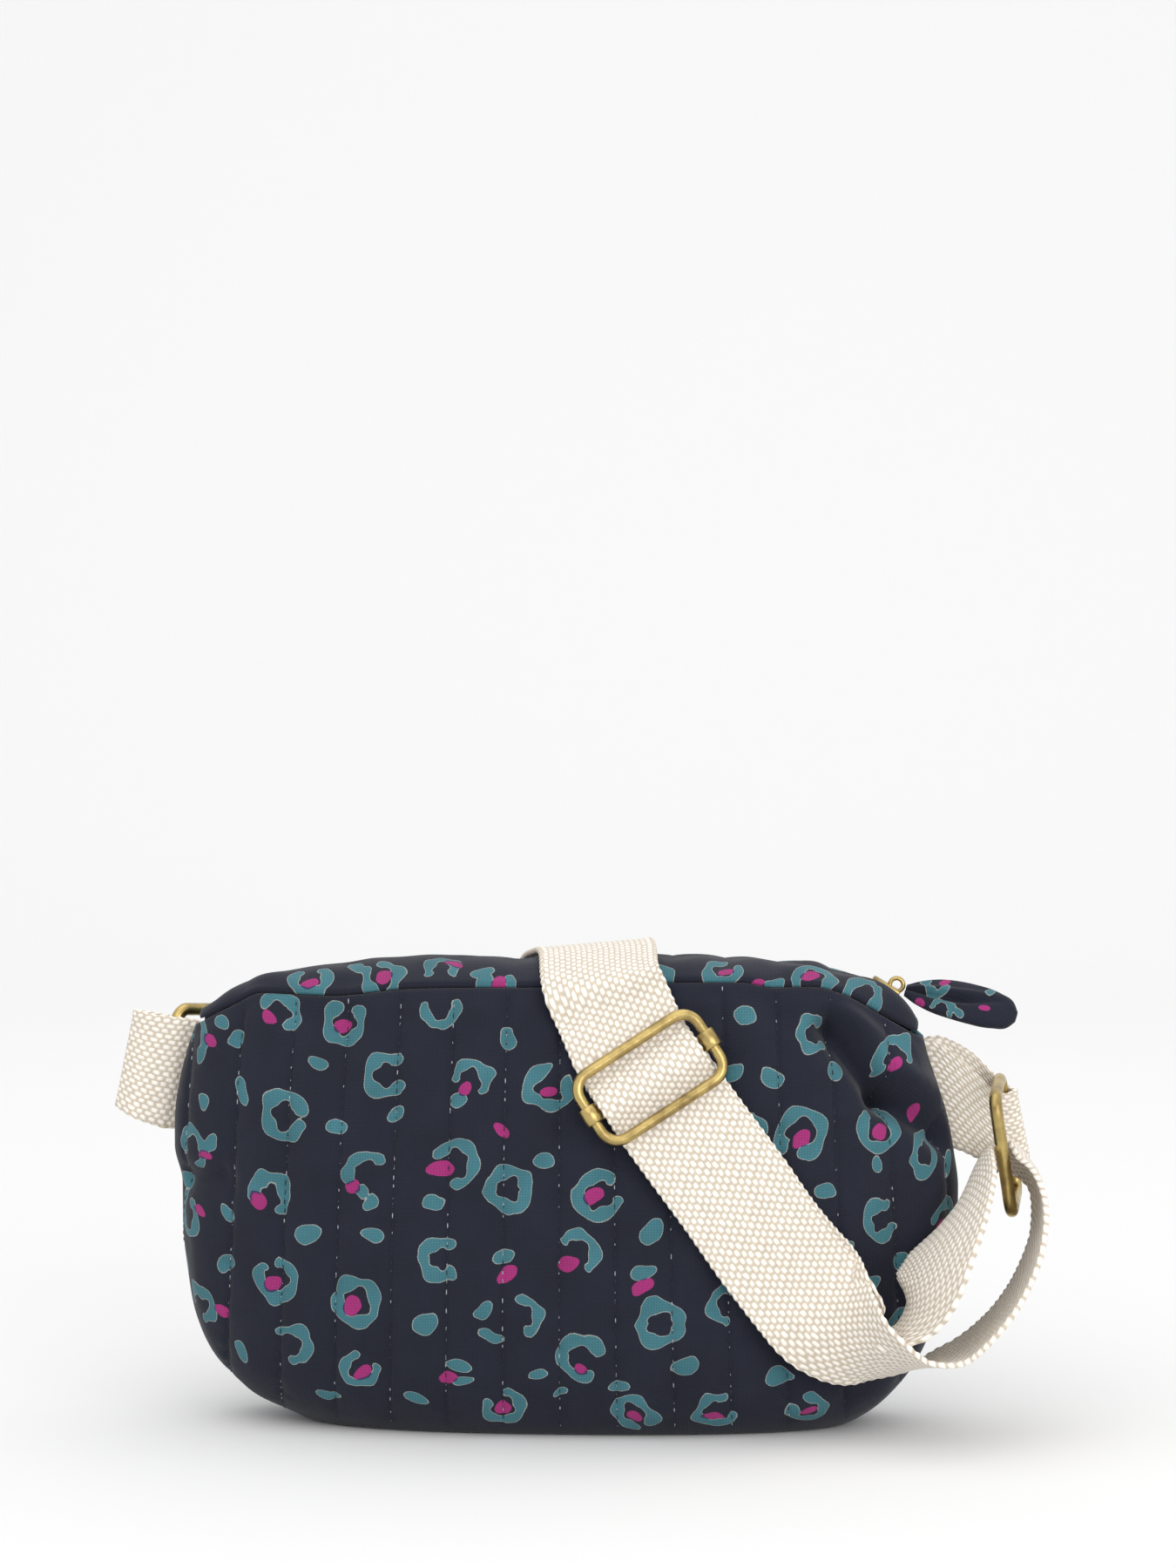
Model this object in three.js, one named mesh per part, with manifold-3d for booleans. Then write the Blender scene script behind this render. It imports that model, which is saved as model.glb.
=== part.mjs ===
// A quilted cotton belt bag that stands on its flat base, with its webbing belt thrown over it.
// Millimetres. +X runs to the right as seen from the front, the front faces -Y and +Z is up.
// The origin is on the base, in the middle of the bag.
import * as THREE from 'three';
import { mergeVertices } from 'three/addons/utils/BufferGeometryUtils.js';
import Module from 'manifold-3d';

const wasm = await Module();
wasm.setup();

// Cloth
const WALL = 3;
const HALF_GAP = 0.15;
const CHANNEL = 17.4;
const CHANNEL_COUNT = 14;
const QUILT_RISE = 1.3;
const QUILT_TOP_FADE = 0.06;
const WIDEST = 128;
const SIDE_ROUND = 2.4;
const TOP_HEIGHT = 147;

// Webbing
const BELT_WIDTH = 38.4;
const BELT_THICK = 1.8;
const TAB_WIDTH = 37.4;
const PLY_GAP = 0.3;

// Brass
const RING_INNER = 34.6;
const RING_DEPTH = 25;
const RING_WIRE = 4.2;
const RING_CORNER = 4.5;
const SLIDER_INNER = 41.6;
const SLIDER_DEPTH = 20.8;
const SLIDER_WIRE = 3.6;
const SLIDER_CORNER = 6;
const BAR_THICK = 1.2;
const BAR_WIDTH = 6;
const SLEEVE_WALL = 0.9;
const SLEEVE_LENGTH = 6;

// Zip
const ZIP_TAPE_THICK = 0.9;
const TEETH_SHARE = 0.55;
const TEETH_HEIGHT = 1.6;
const ZIP_RISE = 0.9;
const ZIP_SLIDER_AT = 105;
const ZIP_SLIDER_LENGTH = 10;
const ZIP_SLIDER_WIDTH = 7.4;
const ZIP_SLIDER_HEIGHT = 2;
const ZIP_SLIDER_LIFT = 2.4;
const BAIL_RADIUS = 2.2;
const BAIL_WIRE = 1.5;
const GUSSET_WALL = 2.2;
const GUSSET_SEAT = 0.8;
const BACK_RIDGE_DROP = 2;
const BACK_SHOULDER_DROP = 3.4;
const GUSSET_CROWN = 1.2;
const GUSSET_TURN = 2.6;
const GUSSET_COLUMNS = 30;
const GUSSET_END = 0.985;
const ZIP_END = 0.94;

// The body from the seam under it (first row) to the top seam (last row). front and back are how far the
// two panels stand out, left and right are the side seams, slot is half the opening of the side seams.
const LEVELS = [
  { height: 0, front: -6, back: 6, left: -76, right: 82, slot: 0.15 },
  { height: 0, front: 12, back: 14, left: -80, right: 86, slot: 0.15 },
  { height: 0, front: 25, back: 25, left: -84, right: 91, slot: 0.15 },
  { height: 2.5, front: 31, back: 30, left: -91, right: 98, slot: 0.15 },
  { height: 9, front: 35.5, back: 34, left: -103, right: 106.5, slot: 0.15 },
  { height: 20, front: 39, back: 36.5, left: -116, right: 115.5, slot: 0.15 },
  { height: 34, front: 41, back: 38, left: -123, right: 122, slot: 0.15 },
  { height: 50, front: 42, back: 38.5, left: -126, right: 127, slot: 0.15 },
  { height: 66, front: 41.8, back: 38, left: -127.5, right: 129.5, slot: 0.15 },
  { height: 80, front: 41, back: 37.2, left: -127.5, right: 129.5, slot: 1 },
  { height: 95, front: 39.4, back: 35.8, left: -129.8, right: 128, slot: 2.5 },
  { height: 110, front: 37, back: 33.8, left: -129.6, right: 126, slot: 2.5 },
  { height: 124, front: 33.8, back: 31.4, left: -128, right: 123.2, slot: 2.5 },
  { height: 137, front: 30, back: 28.8, left: -125.4, right: 120, slot: 2.5 },
  { height: 147, front: 26.6, back: 26.4, left: -122.6, right: 117.6, slot: 2.5 },
];

// The top seam of both panels, from side to side.
const TOP_SEAM = [
  { x: -123, z: 132 },
  { x: -116, z: 136 },
  { x: -109, z: 139.6 },
  { x: -99, z: 144 },
  { x: -76, z: 143.6 },
  { x: -52, z: 146.2 },
  { x: 0, z: 147.4 },
  { x: 36, z: 149 },
  { x: 58, z: 149 },
  { x: 69, z: 147.2 },
  { x: 80, z: 147.4 },
  { x: 92, z: 144.6 },
  { x: 105, z: 137 },
  { x: 119, z: 128.6 },
];

// The ridge where the top strips turn down to the zip.
const RIDGE = [
  { x: -123, z: 133 },
  { x: -112, z: 142 },
  { x: -100, z: 147.6 },
  { x: -72, z: 152.8 },
  { x: -34, z: 155.2 },
  { x: -8, z: 154 },
  { x: 31, z: 155.2 },
  { x: 56, z: 154.6 },
  { x: 75, z: 153 },
  { x: 92, z: 149.6 },
  { x: 105, z: 146 },
  { x: 113, z: 138.6 },
  { x: 119, z: 128.6 },
];

// Dents and folds of the front, as lines in its outline. depth is how far the cloth is pressed in.
const FRONT_FOLDS = [
  { x0: 84, z0: 124, x1: 122, z1: 92, depth: 6, half: 9 },
  { x0: -130, z0: 80, x1: -112, z1: 84, depth: 2.5, half: 7 },
  { x0: -84, z0: 141, x1: -70, z1: 134, depth: 2, half: 9 },
  { x0: 62, z0: 146, x1: 72, z1: 138, depth: 1.6, half: 7 },
];

// The belt down the front of the bag, in the order in which it runs. lift is from the cloth to the middle
// of the webbing, heading is the angle of its width above level, in degrees.
const BELT_FRONT = [
  { x: 13.5, z: 147, lift: 4.9, heading: 16 },
  { x: 17.2, z: 139.6, lift: 2.2, heading: 23 },
  { x: 20.4, z: 132.6, lift: 2.6, heading: 29 },
  { x: 22.7, z: 127.6, lift: 4.1, heading: 33 },
  { x: 24.7, z: 124.6, lift: 4.4, heading: 34 },
  { x: 27.9, z: 119.9, lift: 8.6, heading: 34 },
  { x: 29.2, z: 118, lift: 8.8, heading: 34 },
  { x: 30.5, z: 116.1, lift: 8.5, heading: 34 },
  { x: 33.9, z: 111.2, lift: 4.5, heading: 34 },
  { x: 36.2, z: 107.9, lift: 4.1, heading: 34 },
  { x: 44.2, z: 97.2, lift: 3.8, heading: 34 },
  { x: 55.8, z: 81.6, lift: 3.8, heading: 34 },
  { x: 67.2, z: 65.2, lift: 3.9, heading: 34 },
  { x: 78.6, z: 49.8, lift: 5.4, heading: 35 },
];

// The free loop of the belt, from the front of the bag through the right ring and back. width is the way
// that its edges point. curl is the angle that it is bent through across its width and gather is the share
// of its width that is left where the ring bunches it.
const BELT_LOOP = [
  { x: 90, y: -46.5, z: 38.5, width: [0.7, -0.35, 0.5], curl: 0 },
  { x: 102, y: -48.5, z: 31, width: [0.5, -0.76, 0.3], curl: 0 },
  { x: 115, y: -46.5, z: 27.5, width: [0.25, -0.96, 0.08], curl: 0 },
  { x: 129, y: -43, z: 31.5, width: [0.1, -0.99, 0.03], curl: 0 },
  { x: 142, y: -40, z: 43, width: [0.08, -0.99, 0.06], curl: 0 },
  { x: 151, y: -34, z: 57, width: [0.08, -0.98, 0.12], curl: -5 },
  { x: 155.8, y: -23, z: 73.5, width: [0.04, -0.97, 0.22], curl: -25, gather: 0.9 },
  { x: 153.4, y: -14, z: 85.5, width: [0, -0.97, 0.24], curl: -60, gather: 0.7 },
  { x: 144.6, y: -8, z: 92.5, width: [0, -0.8, 0.6], curl: -70, gather: 0.56 },
  { x: 137.4, y: -11, z: 88, width: [0, -0.84, 0.54], curl: -60, gather: 0.57 },
  { x: 130.6, y: -31, z: 77.8, width: [0.36, -0.84, 0.36], curl: -20, gather: 0.88 },
  { x: 124, y: -42, z: 66, width: [0.55, -0.8, 0.24], curl: -5 },
  { x: 118.5, y: -46, z: 53.6, width: [0.6, -0.76, 0.25], curl: 0 },
  { x: 112.6, y: -46.2, z: 41.6, width: [0.66, -0.66, 0.34], curl: 0 },
  { x: 103, y: -43.2, z: 37, width: [0.66, -0.46, 0.58], curl: 0 },
  { x: 92.4, y: -42.6, z: 44, width: [0.72, -0.2, 0.66], curl: 0 },
];

// The return ply, from the loop up under the front of the belt to the bar of the strap slider.
const BELT_RETURN = [
  { x: 80, z: 52, lift: 2, heading: 35 },
  { x: 67.8, z: 66.2, lift: 1.6, heading: 34 },
  { x: 56.4, z: 82.4, lift: 1.5, heading: 34 },
  { x: 44.8, z: 98, lift: 1.5, heading: 34 },
  { x: 37, z: 108.4, lift: 1.6, heading: 34 },
  { x: 32.4, z: 114.8, lift: 1.7, heading: 34 },
  { x: 28, z: 119.7, lift: 1.8, heading: 34 },
  { x: 25.9, z: 122.7, lift: 2.2, heading: 34 },
  { x: 24.9, z: 124.1, lift: 4, heading: 34 },
  { x: 25.9, z: 122.7, lift: 6.2, heading: 34 },
  { x: 28, z: 119.7, lift: 6.5, heading: 34 },
  { x: 30.2, z: 116.9, lift: 6.6, heading: 34 },
];

// The hidden stretch of the belt, from the sewn loop on the left ring, behind the bag and over the top.
// gather is the share of its width that is left where that ring bunches it.
const BELT_BACK = [
  { x: -100.8, y: 35.7, z: 113.5, width: [0.2, 0, 0.98], gather: 0.94 },
  { x: -110.4, y: 28.5, z: 113.9, width: [0.2, 0, 0.98], gather: 0.86 },
  { x: -116.4, y: 23, z: 113.9, width: [0.2, 0, 0.98], gather: 0.85 },
  { x: -122.5, y: 24, z: 113.9, width: [0.2, 0, 0.98], gather: 0.85 },
  { x: -120.9, y: 30, z: 113.9, width: [0.2, 0, 0.98], gather: 0.85 },
  { x: -112.6, y: 32.4, z: 113.9, width: [0.2, 0, 0.98], gather: 0.86 },
  { x: -102, y: 38.2, z: 113.5, width: [0.18, -0.02, 0.98], gather: 0.94 },
  { x: -88, y: 43.8, z: 113.4, width: [0.12, -0.1, 0.99] },
  { x: -66, y: 51, z: 114.5, width: [0.02, -0.3, 0.95] },
  { x: -44, y: 55.5, z: 119, width: [-0.12, -0.62, 0.76] },
  { x: -25, y: 54, z: 127.4, width: [-0.36, -0.84, 0.4] },
  { x: -10, y: 47, z: 138.8, width: [-0.64, -0.76, 0.03] },
  { x: 0, y: 35, z: 149.4, width: [-0.82, -0.56, 0.1] },
  { x: 5.6, y: 19.5, z: 154.8, width: [-0.92, -0.38, -0.01] },
  { x: 9, y: 4, z: 157.4, width: [-0.94, -0.32, -0.06] },
  { x: 10.8, y: -9, z: 157.2, width: [-0.95, -0.26, -0.1] },
];

// The side loops, as places out from the side seam, in depth and down it, from root to root. turn leans
// the upper edge of the webbing forward, in degrees, and gather is the share of its width that is left.
const TAB_LEFT_ROUTE = [
  { out: -7, y: -1.1, drop: 0, turn: 0, gather: 1 },
  { out: 1.5, y: -1.1, drop: 0, turn: 0, gather: 1 },
  { out: 4, y: -2.2, drop: 0, turn: 0, gather: 1 },
  { out: 9, y: -3.4, drop: 0, turn: 0, gather: 0.98 },
  { out: 15, y: -3.2, drop: -0.4, turn: 0, gather: 0.94 },
  { out: 19.4, y: -0.6, drop: -1, turn: 0, gather: 0.9 },
  { out: 20.4, y: 2, drop: -1, turn: 0, gather: 0.88 },
  { out: 19.2, y: 4.6, drop: -1, turn: 0, gather: 0.87 },
  { out: 14, y: 6.2, drop: -1, turn: 0, gather: 0.87 },
  { out: 8, y: 5.8, drop: -1, turn: 0, gather: 0.87 },
  { out: 4, y: 4.4, drop: -1, turn: 0, gather: 0.88 },
  { out: 1.5, y: 1.1, drop: -0.4, turn: 0, gather: 0.92 },
  { out: -7, y: 1.1, drop: 0, turn: 0, gather: 0.98 },
];
const TAB_RIGHT_ROUTE = [
  { out: -7, y: -1.1, drop: 0, turn: 0, gather: 1 },
  { out: 2, y: -1.1, drop: 0.4, turn: 0, gather: 1 },
  { out: 8, y: -0.8, drop: 5, turn: 2, gather: 0.96 },
  { out: 15, y: 0.8, drop: 13, turn: 5, gather: 0.88 },
  { out: 20.4, y: 2.2, drop: 18.2, turn: 8, gather: 0.77 },
  { out: 24.8, y: 4, drop: 18.4, turn: 8, gather: 0.75 },
  { out: 25.8, y: 7, drop: 18, turn: 8, gather: 0.75 },
  { out: 23, y: 10.4, drop: 16.8, turn: 8, gather: 0.77 },
  { out: 15.5, y: 10.6, drop: 8, turn: 5, gather: 0.9 },
  { out: 8, y: 4.4, drop: 2, turn: 2, gather: 0.97 },
  { out: 4, y: 1.3, drop: 0.2, turn: 0, gather: 1 },
  { out: -7, y: 1.1, drop: 0, turn: 0, gather: 1 },
];
const TAB_LEFT = { x: -126.8, z: 114.2, lean: [0.2, 0, 0.98], side: -1 };
const TAB_RIGHT = { x: 121.8, z: 109.5, lean: [-0.2, 0, 0.98], side: 1 };

// Where the brass sits: the middle, the long way and the short way of each frame.
const RING_LEFT = { at: [-125.7, 14, 115.2], long: [0.2, 0, 0.98], short: [0.5, 0.86, -0.1] };
const RING_RIGHT = { at: [144.8, -8, 93.7], long: [-0.15, -0.12, 0.98], short: [-0.09, -0.98, -0.17] };
const SLIDER_AT = { x: 29.2, z: 118, lift: 7.2, heading: 34 };

// The zip pull, from the bail of the zip's slider to its tip. half is half its width, crease is how deep the
// fold down its middle is, rise is how far it bows.
const PULL_FROM = [111.9, -1, 143.6];
const PULL_TO = [147.6, -7, 135.8];
const PULL_FACE = [0.1, -0.8, 0.6];
const PULL_THICK = 2.4;
const PULL_ROWS = [
  { along: 0, half: 2.4, crease: 0.4, rise: 0 },
  { along: 5, half: 4.4, crease: 1.4, rise: 0.8 },
  { along: 12, half: 6.2, crease: 2, rise: 1.6 },
  { along: 20, half: 6.8, crease: 1.8, rise: 1.8 },
  { along: 28, half: 6.4, crease: 1.4, rise: 1.2 },
  { along: 34, half: 4.8, crease: 0.8, rise: 0.6 },
  { along: 37.5, half: 2, crease: 0.3, rise: 0 },
];

function smooth(low, high, value) {
  return THREE.MathUtils.smoothstep(value, low, high);
}

// Reads one column of a table of rows at a place along another column.
function tableAt(rows, key, place, column) {
  let index = 1;
  while (index < rows.length - 1 && rows[index][key] < place) {
    index += 1;
  }
  const low = rows[index - 1];
  const high = rows[index];
  const share = THREE.MathUtils.clamp((place - low[key]) / (high[key] - low[key]), 0, 1);
  return THREE.MathUtils.lerp(low[column], high[column], share);
}

// The body's own levels, read at a share of the way from the first row to the last.
function levelAt(share, column) {
  const place = share * (LEVELS.length - 1);
  const index = Math.min(Math.floor(place), LEVELS.length - 2);
  return THREE.MathUtils.lerp(LEVELS[index][column], LEVELS[index + 1][column], place - index);
}

function roundAcross(u) {
  return Math.pow(Math.max(0, 1 - Math.pow(Math.abs(u), SIDE_ROUND)), 1 / SIDE_ROUND);
}

// A point of a panel before quilting. u runs from the left side seam (-1) to the right one (1).
function panelPoint(u, share, facing) {
  const column = facing < 0 ? 'front' : 'back';
  const height = levelAt(share, 'height');
  const reach = u < 0 ? -levelAt(share, 'left') : levelAt(share, 'right');
  const x = u * reach;
  const shoulder = facing > 0 ? BACK_SHOULDER_DROP * smooth(72, 104, -x) : 0;
  const seam = tableAt(TOP_SEAM, 'x', x, 'z') - shoulder;
  const drop = (seam / TOP_HEIGHT - 1) * smooth(60, TOP_HEIGHT, height);
  const gap = THREE.MathUtils.lerp(HALF_GAP, levelAt(share, 'slot'), Math.pow(Math.abs(u), 12));
  const depth = levelAt(share, column) * roundAcross(u) + gap;
  return new THREE.Vector3(x, facing * depth, height * (1 + drop));
}

// The outward normal of a panel. On a side seam it stays in the plane of the seam.
function panelNormal(u, share, facing) {
  const step = 0.004;
  const up = panelPoint(u, Math.min(1, share + step), facing);
  up.sub(panelPoint(u, Math.max(0, share - step), facing));
  if (Math.abs(u) === 1) {
    const side = Math.sign(u);
    return new THREE.Vector3(side * up.z, 0, -side * up.x).normalize();
  }
  const across = panelPoint(Math.min(1, u + step), share, facing);
  across.sub(panelPoint(Math.max(-1, u - step), share, facing));
  const normal = across.cross(up).normalize();
  return facing < 0 ? normal : normal.negate();
}

function foldDepth(x, z) {
  let depth = 0;
  for (const fold of FRONT_FOLDS) {
    const run = new THREE.Vector2(fold.x1 - fold.x0, fold.z1 - fold.z0);
    const from = new THREE.Vector2(x - fold.x0, z - fold.z0);
    const along = THREE.MathUtils.clamp(from.dot(run) / run.lengthSq(), 0, 1);
    const away = from.distanceTo(run.multiplyScalar(along)) / fold.half;
    depth += fold.depth * Math.exp(-away * away);
  }
  return depth;
}

// How far the padding stands off the sewn lines. It is nothing on the flat base and on the seams.
function quiltRise(u, share) {
  const channel = (u * WIDEST) / CHANNEL;
  const puff = Math.abs(Math.sin(Math.PI * channel));
  const ends = smooth(0, 0.05, 1 - Math.abs(u));
  const top = smooth(0, QUILT_TOP_FADE, 1 - share);
  return QUILT_RISE * puff * ends * top * smooth(2, 14, levelAt(share, 'height'));
}

// A closed solid between two grids of points with the same rows and columns.
function gridSolid(outer, inner) {
  const rows = outer.length;
  const columns = outer[0].length;
  const positions = [];
  for (const grid of [outer, inner]) {
    for (const row of grid) {
      for (const point of row) {
        positions.push(point.x, point.y, point.z);
      }
    }
  }
  const at = (layer, row, column) => layer * rows * columns + row * columns + column;
  const index = [];
  const quad = (a, b, c, d) => index.push(a, b, c, a, c, d);
  for (let row = 0; row < rows - 1; row += 1) {
    for (let column = 0; column < columns - 1; column += 1) {
      quad(at(0, row, column), at(0, row, column + 1), at(0, row + 1, column + 1), at(0, row + 1, column));
      quad(at(1, row, column), at(1, row + 1, column), at(1, row + 1, column + 1), at(1, row, column + 1));
    }
    const last = columns - 1;
    quad(at(0, row, 0), at(0, row + 1, 0), at(1, row + 1, 0), at(1, row, 0));
    quad(at(0, row + 1, last), at(0, row, last), at(1, row, last), at(1, row + 1, last));
  }
  for (let column = 0; column < columns - 1; column += 1) {
    const last = rows - 1;
    quad(at(0, 0, column + 1), at(0, 0, column), at(1, 0, column), at(1, 0, column + 1));
    quad(at(0, last, column), at(0, last, column + 1), at(1, last, column + 1), at(1, last, column));
  }
  const geometry = new THREE.BufferGeometry();
  geometry.setAttribute('position', new THREE.Float32BufferAttribute(positions, 3));
  geometry.setIndex(index);
  geometry.computeVertexNormals();
  return geometry;
}

// The columns of the panels: each sewn line, the crown of each channel between, and the side seams.
function quiltColumns() {
  const columns = [-1];
  for (let half = -CHANNEL_COUNT; half <= CHANNEL_COUNT; half += 1) {
    columns.push((half * CHANNEL) / 2 / WIDEST);
  }
  columns.push(1);
  return columns;
}

function panelGeometry(facing) {
  const columns = quiltColumns();
  const outer = [];
  const inner = [];
  for (let row = 0; row < LEVELS.length; row += 1) {
    const share = row / (LEVELS.length - 1);
    const outerRow = [];
    const innerRow = [];
    for (const u of columns) {
      const point = panelPoint(u, share, facing);
      const normal = panelNormal(u, share, facing);
      const pressed = facing < 0 && Math.abs(u) < 1 ? foldDepth(point.x, point.z) : 0;
      const rise = quiltRise(u, share) - pressed * smooth(0, QUILT_TOP_FADE, 1 - share);
      const skin = point.clone().addScaledVector(normal, rise);
      outerRow.push(skin);
      innerRow.push(skin.clone().addScaledVector(normal, -WALL));
    }
    outer.push(facing < 0 ? outerRow : outerRow.reverse());
    inner.push(facing < 0 ? innerRow : innerRow.reverse());
  }
  return gridSolid(outer, inner);
}

// A point across one of the top strips, from its seam (0) over the ridge (1) down to the zip (2).
function gussetPoint(u, across, facing) {
  const seam = panelPoint(u, 1, facing);
  const depth = Math.abs(seam.y);
  const ridge = tableAt(RIDGE, 'x', seam.x, 'z') - (facing > 0 ? BACK_RIDGE_DROP : 0);
  const seat = seam.z + GUSSET_SEAT;
  const top = Math.max(ridge, seat + GUSSET_WALL + PLY_GAP);
  if (across <= 1) {
    const crown = GUSSET_CROWN * Math.sin(Math.PI * across) * smooth(3, 20, depth);
    const y = THREE.MathUtils.lerp(depth, ridgeDepth(depth), across);
    return new THREE.Vector3(seam.x, facing * y, THREE.MathUtils.lerp(seat, top, across) + crown);
  }
  const y = THREE.MathUtils.lerp(ridgeDepth(depth), zipDepth(depth), across - 1);
  return new THREE.Vector3(seam.x, facing * y, top - GUSSET_TURN * (across - 1));
}

function ridgeDepth(depth) {
  return 2.4 + 0.16 * depth;
}

function zipDepth(depth) {
  return 1.9 + 0.11 * depth;
}

function gussetGeometry(facing) {
  const outer = [];
  const inner = [];
  const shares = [0, 0.35, 0.7, 1, 2];
  for (let column = 0; column <= GUSSET_COLUMNS; column += 1) {
    const u = GUSSET_END * (2 * (column / GUSSET_COLUMNS) - 1);
    const outerRow = [];
    const innerRow = [];
    for (const across of shares) {
      const point = gussetPoint(u, across, facing);
      const ahead = gussetPoint(u, Math.min(2, across + 0.05), facing);
      const behind = gussetPoint(u, Math.max(0, across - 0.05), facing);
      const run = ahead.sub(behind);
      const normal = new THREE.Vector3(0, facing * run.z, Math.abs(run.y)).normalize();
      normal.y = across === 0 ? facing * 0.97 : normal.y;
      normal.z = across === 0 ? 0.1 : normal.z;
      const thick = Math.min(GUSSET_WALL, 0.42 * Math.abs(panelPoint(u, 1, facing).y));
      outerRow.push(point);
      innerRow.push(point.clone().addScaledVector(normal, -thick));
    }
    outer.push(facing < 0 ? outerRow : outerRow.reverse());
    inner.push(facing < 0 ? innerRow : innerRow.reverse());
  }
  return gridSolid(inner, outer);
}

// A strip that runs along the zip, between two shares of the gap between the top strips.
function zipStripGeometry(from, to, below, thick) {
  const outer = [];
  const inner = [];
  for (let column = 0; column <= GUSSET_COLUMNS; column += 1) {
    const u = ZIP_END * (2 * (column / GUSSET_COLUMNS) - 1);
    const edge = gussetPoint(u, 2, 1);
    const room = edge.y - PLY_GAP;
    const top = edge.z + ZIP_RISE - below;
    outer.push([from, to].map((share) => new THREE.Vector3(edge.x, share * room, top)));
    inner.push([from, to].map((share) => new THREE.Vector3(edge.x, share * room, top - thick)));
  }
  return gridSolid(inner, outer);
}

// A point on the front of the bag, lifted off the cloth along its normal.
function onFront(x, z, lift) {
  let low = 2 / (LEVELS.length - 1);
  let high = 1;
  let u = 0;
  for (let step = 0; step < 30; step += 1) {
    const middle = (low + high) / 2;
    u = x / (x < 0 ? -levelAt(middle, 'left') : levelAt(middle, 'right'));
    if (panelPoint(u, middle, -1).z < z) {
      low = middle;
    } else {
      high = middle;
    }
  }
  const point = panelPoint(u, low, -1);
  const normal = panelNormal(u, low, -1);
  return point.addScaledVector(normal, lift + QUILT_RISE);
}

// A strip of cloth or webbing swept through stations. Each has a middle, the way that its width points,
// the angle that it is curled through across that width and the share of the width that is left. A skewed
// strip keeps its width where its path slopes, as a loop does that is pulled down.
function stripGeometry(stations, width, thick, steps, cells, skewed) {
  const path = new THREE.CatmullRomCurve3(stations.map((station) => station.at), false, 'centripetal');
  const wide = new THREE.CatmullRomCurve3(stations.map((station) => station.width), false, 'centripetal');
  const outer = [];
  const inner = [];
  for (let step = 0; step <= steps; step += 1) {
    const t = step / steps;
    const middle = path.getPoint(t);
    const along = path.getTangent(t);
    const side = wide.getPoint(t);
    side.addScaledVector(along, skewed ? 0 : -side.dot(along)).normalize();
    const face = new THREE.Vector3().crossVectors(side, along).normalize();
    const place = t * (stations.length - 1);
    const index = Math.min(Math.floor(place), stations.length - 2);
    const curl = THREE.MathUtils.lerp(stations[index].curl, stations[index + 1].curl, place - index);
    const gather = THREE.MathUtils.lerp(stations[index].gather, stations[index + 1].gather, place - index);
    const angle = Math.abs(curl) < 0.1 ? 0.001 : THREE.MathUtils.degToRad(curl);
    const radius = (width * gather) / angle;
    const outerRow = [];
    const innerRow = [];
    for (let cell = 0; cell <= cells; cell += 1) {
      const turn = (cell / cells - 0.5) * angle;
      const out = face.clone().multiplyScalar(Math.cos(turn)).addScaledVector(side, Math.sin(turn));
      const point = middle.clone().addScaledVector(face, -radius * Math.cos(angle / 4));
      point.addScaledVector(out, radius);
      outerRow.push(point.clone().addScaledVector(out, thick / 2));
      innerRow.push(point.clone().addScaledVector(out, -thick / 2));
    }
    outer.push(outerRow);
    inner.push(innerRow);
  }
  return gridSolid(outer, inner);
}

function frontStation(row) {
  const angle = THREE.MathUtils.degToRad(row.heading);
  const at = onFront(row.x, row.z, row.lift);
  const normal = onFront(row.x, row.z, row.lift + 1).sub(at);
  const width = new THREE.Vector3(Math.cos(angle), 0, Math.sin(angle));
  width.addScaledVector(normal, -width.dot(normal)).normalize();
  return { at, width, curl: 0, gather: 1 };
}

function freeStation(row, sign) {
  const width = new THREE.Vector3(...row.width).normalize().multiplyScalar(sign);
  const at = new THREE.Vector3(row.x, row.y, row.z);
  return { at, width, curl: row.curl ?? 0, gather: row.gather ?? 1 };
}

// The whole belt in one run, from its sewn loop on the left ring to its sewn loop on the strap slider.
function beltGeometry() {
  const stations = [
    ...BELT_BACK.map((row) => freeStation(row, -1)),
    ...BELT_FRONT.map(frontStation),
    ...BELT_LOOP.map((row) => freeStation(row, 1)),
    ...BELT_RETURN.map(frontStation),
  ];
  return stripGeometry(stations, BELT_WIDTH, BELT_THICK, (stations.length - 1) * 2, 4, false);
}

function tabGeometry(tab, route) {
  const lean = new THREE.Vector3(...tab.lean).normalize();
  const out = new THREE.Vector3(lean.z, 0, -lean.x).multiplyScalar(tab.side);
  const seat = new THREE.Vector3(tab.x, 0, tab.z);
  const stations = route.map((row) => {
    const at = seat.clone().addScaledVector(out, row.out).addScaledVector(lean, -row.drop);
    at.y += row.y;
    const width = lean.clone().applyAxisAngle(out, THREE.MathUtils.degToRad(row.turn));
    return { at, width, curl: 0, gather: row.gather };
  });
  return stripGeometry(stations, TAB_WIDTH, BELT_THICK, (route.length - 1) * 2, 1, true);
}

// A rectangle with round corners, in its own XY plane, as one closed wire.
class RoundedRectangle extends THREE.Curve {
  constructor(length, depth, corner) {
    super();
    const shape = new THREE.Shape();
    const x = length / 2;
    const y = depth / 2;
    shape.moveTo(0, -y);
    shape.lineTo(x - corner, -y);
    shape.absarc(x - corner, -y + corner, corner, -Math.PI / 2, 0, false);
    shape.lineTo(x, y - corner);
    shape.absarc(x - corner, y - corner, corner, 0, Math.PI / 2, false);
    shape.lineTo(-x + corner, y);
    shape.absarc(-x + corner, y - corner, corner, Math.PI / 2, Math.PI, false);
    shape.lineTo(-x, -y + corner);
    shape.absarc(-x + corner, -y + corner, corner, Math.PI, Math.PI * 1.5, false);
    shape.lineTo(0, -y);
    this.shape = shape;
  }

  getPoint(t, target = new THREE.Vector3()) {
    const flat = this.shape.getPoint(t % 1);
    return target.set(flat.x, flat.y, 0);
  }
}

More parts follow.
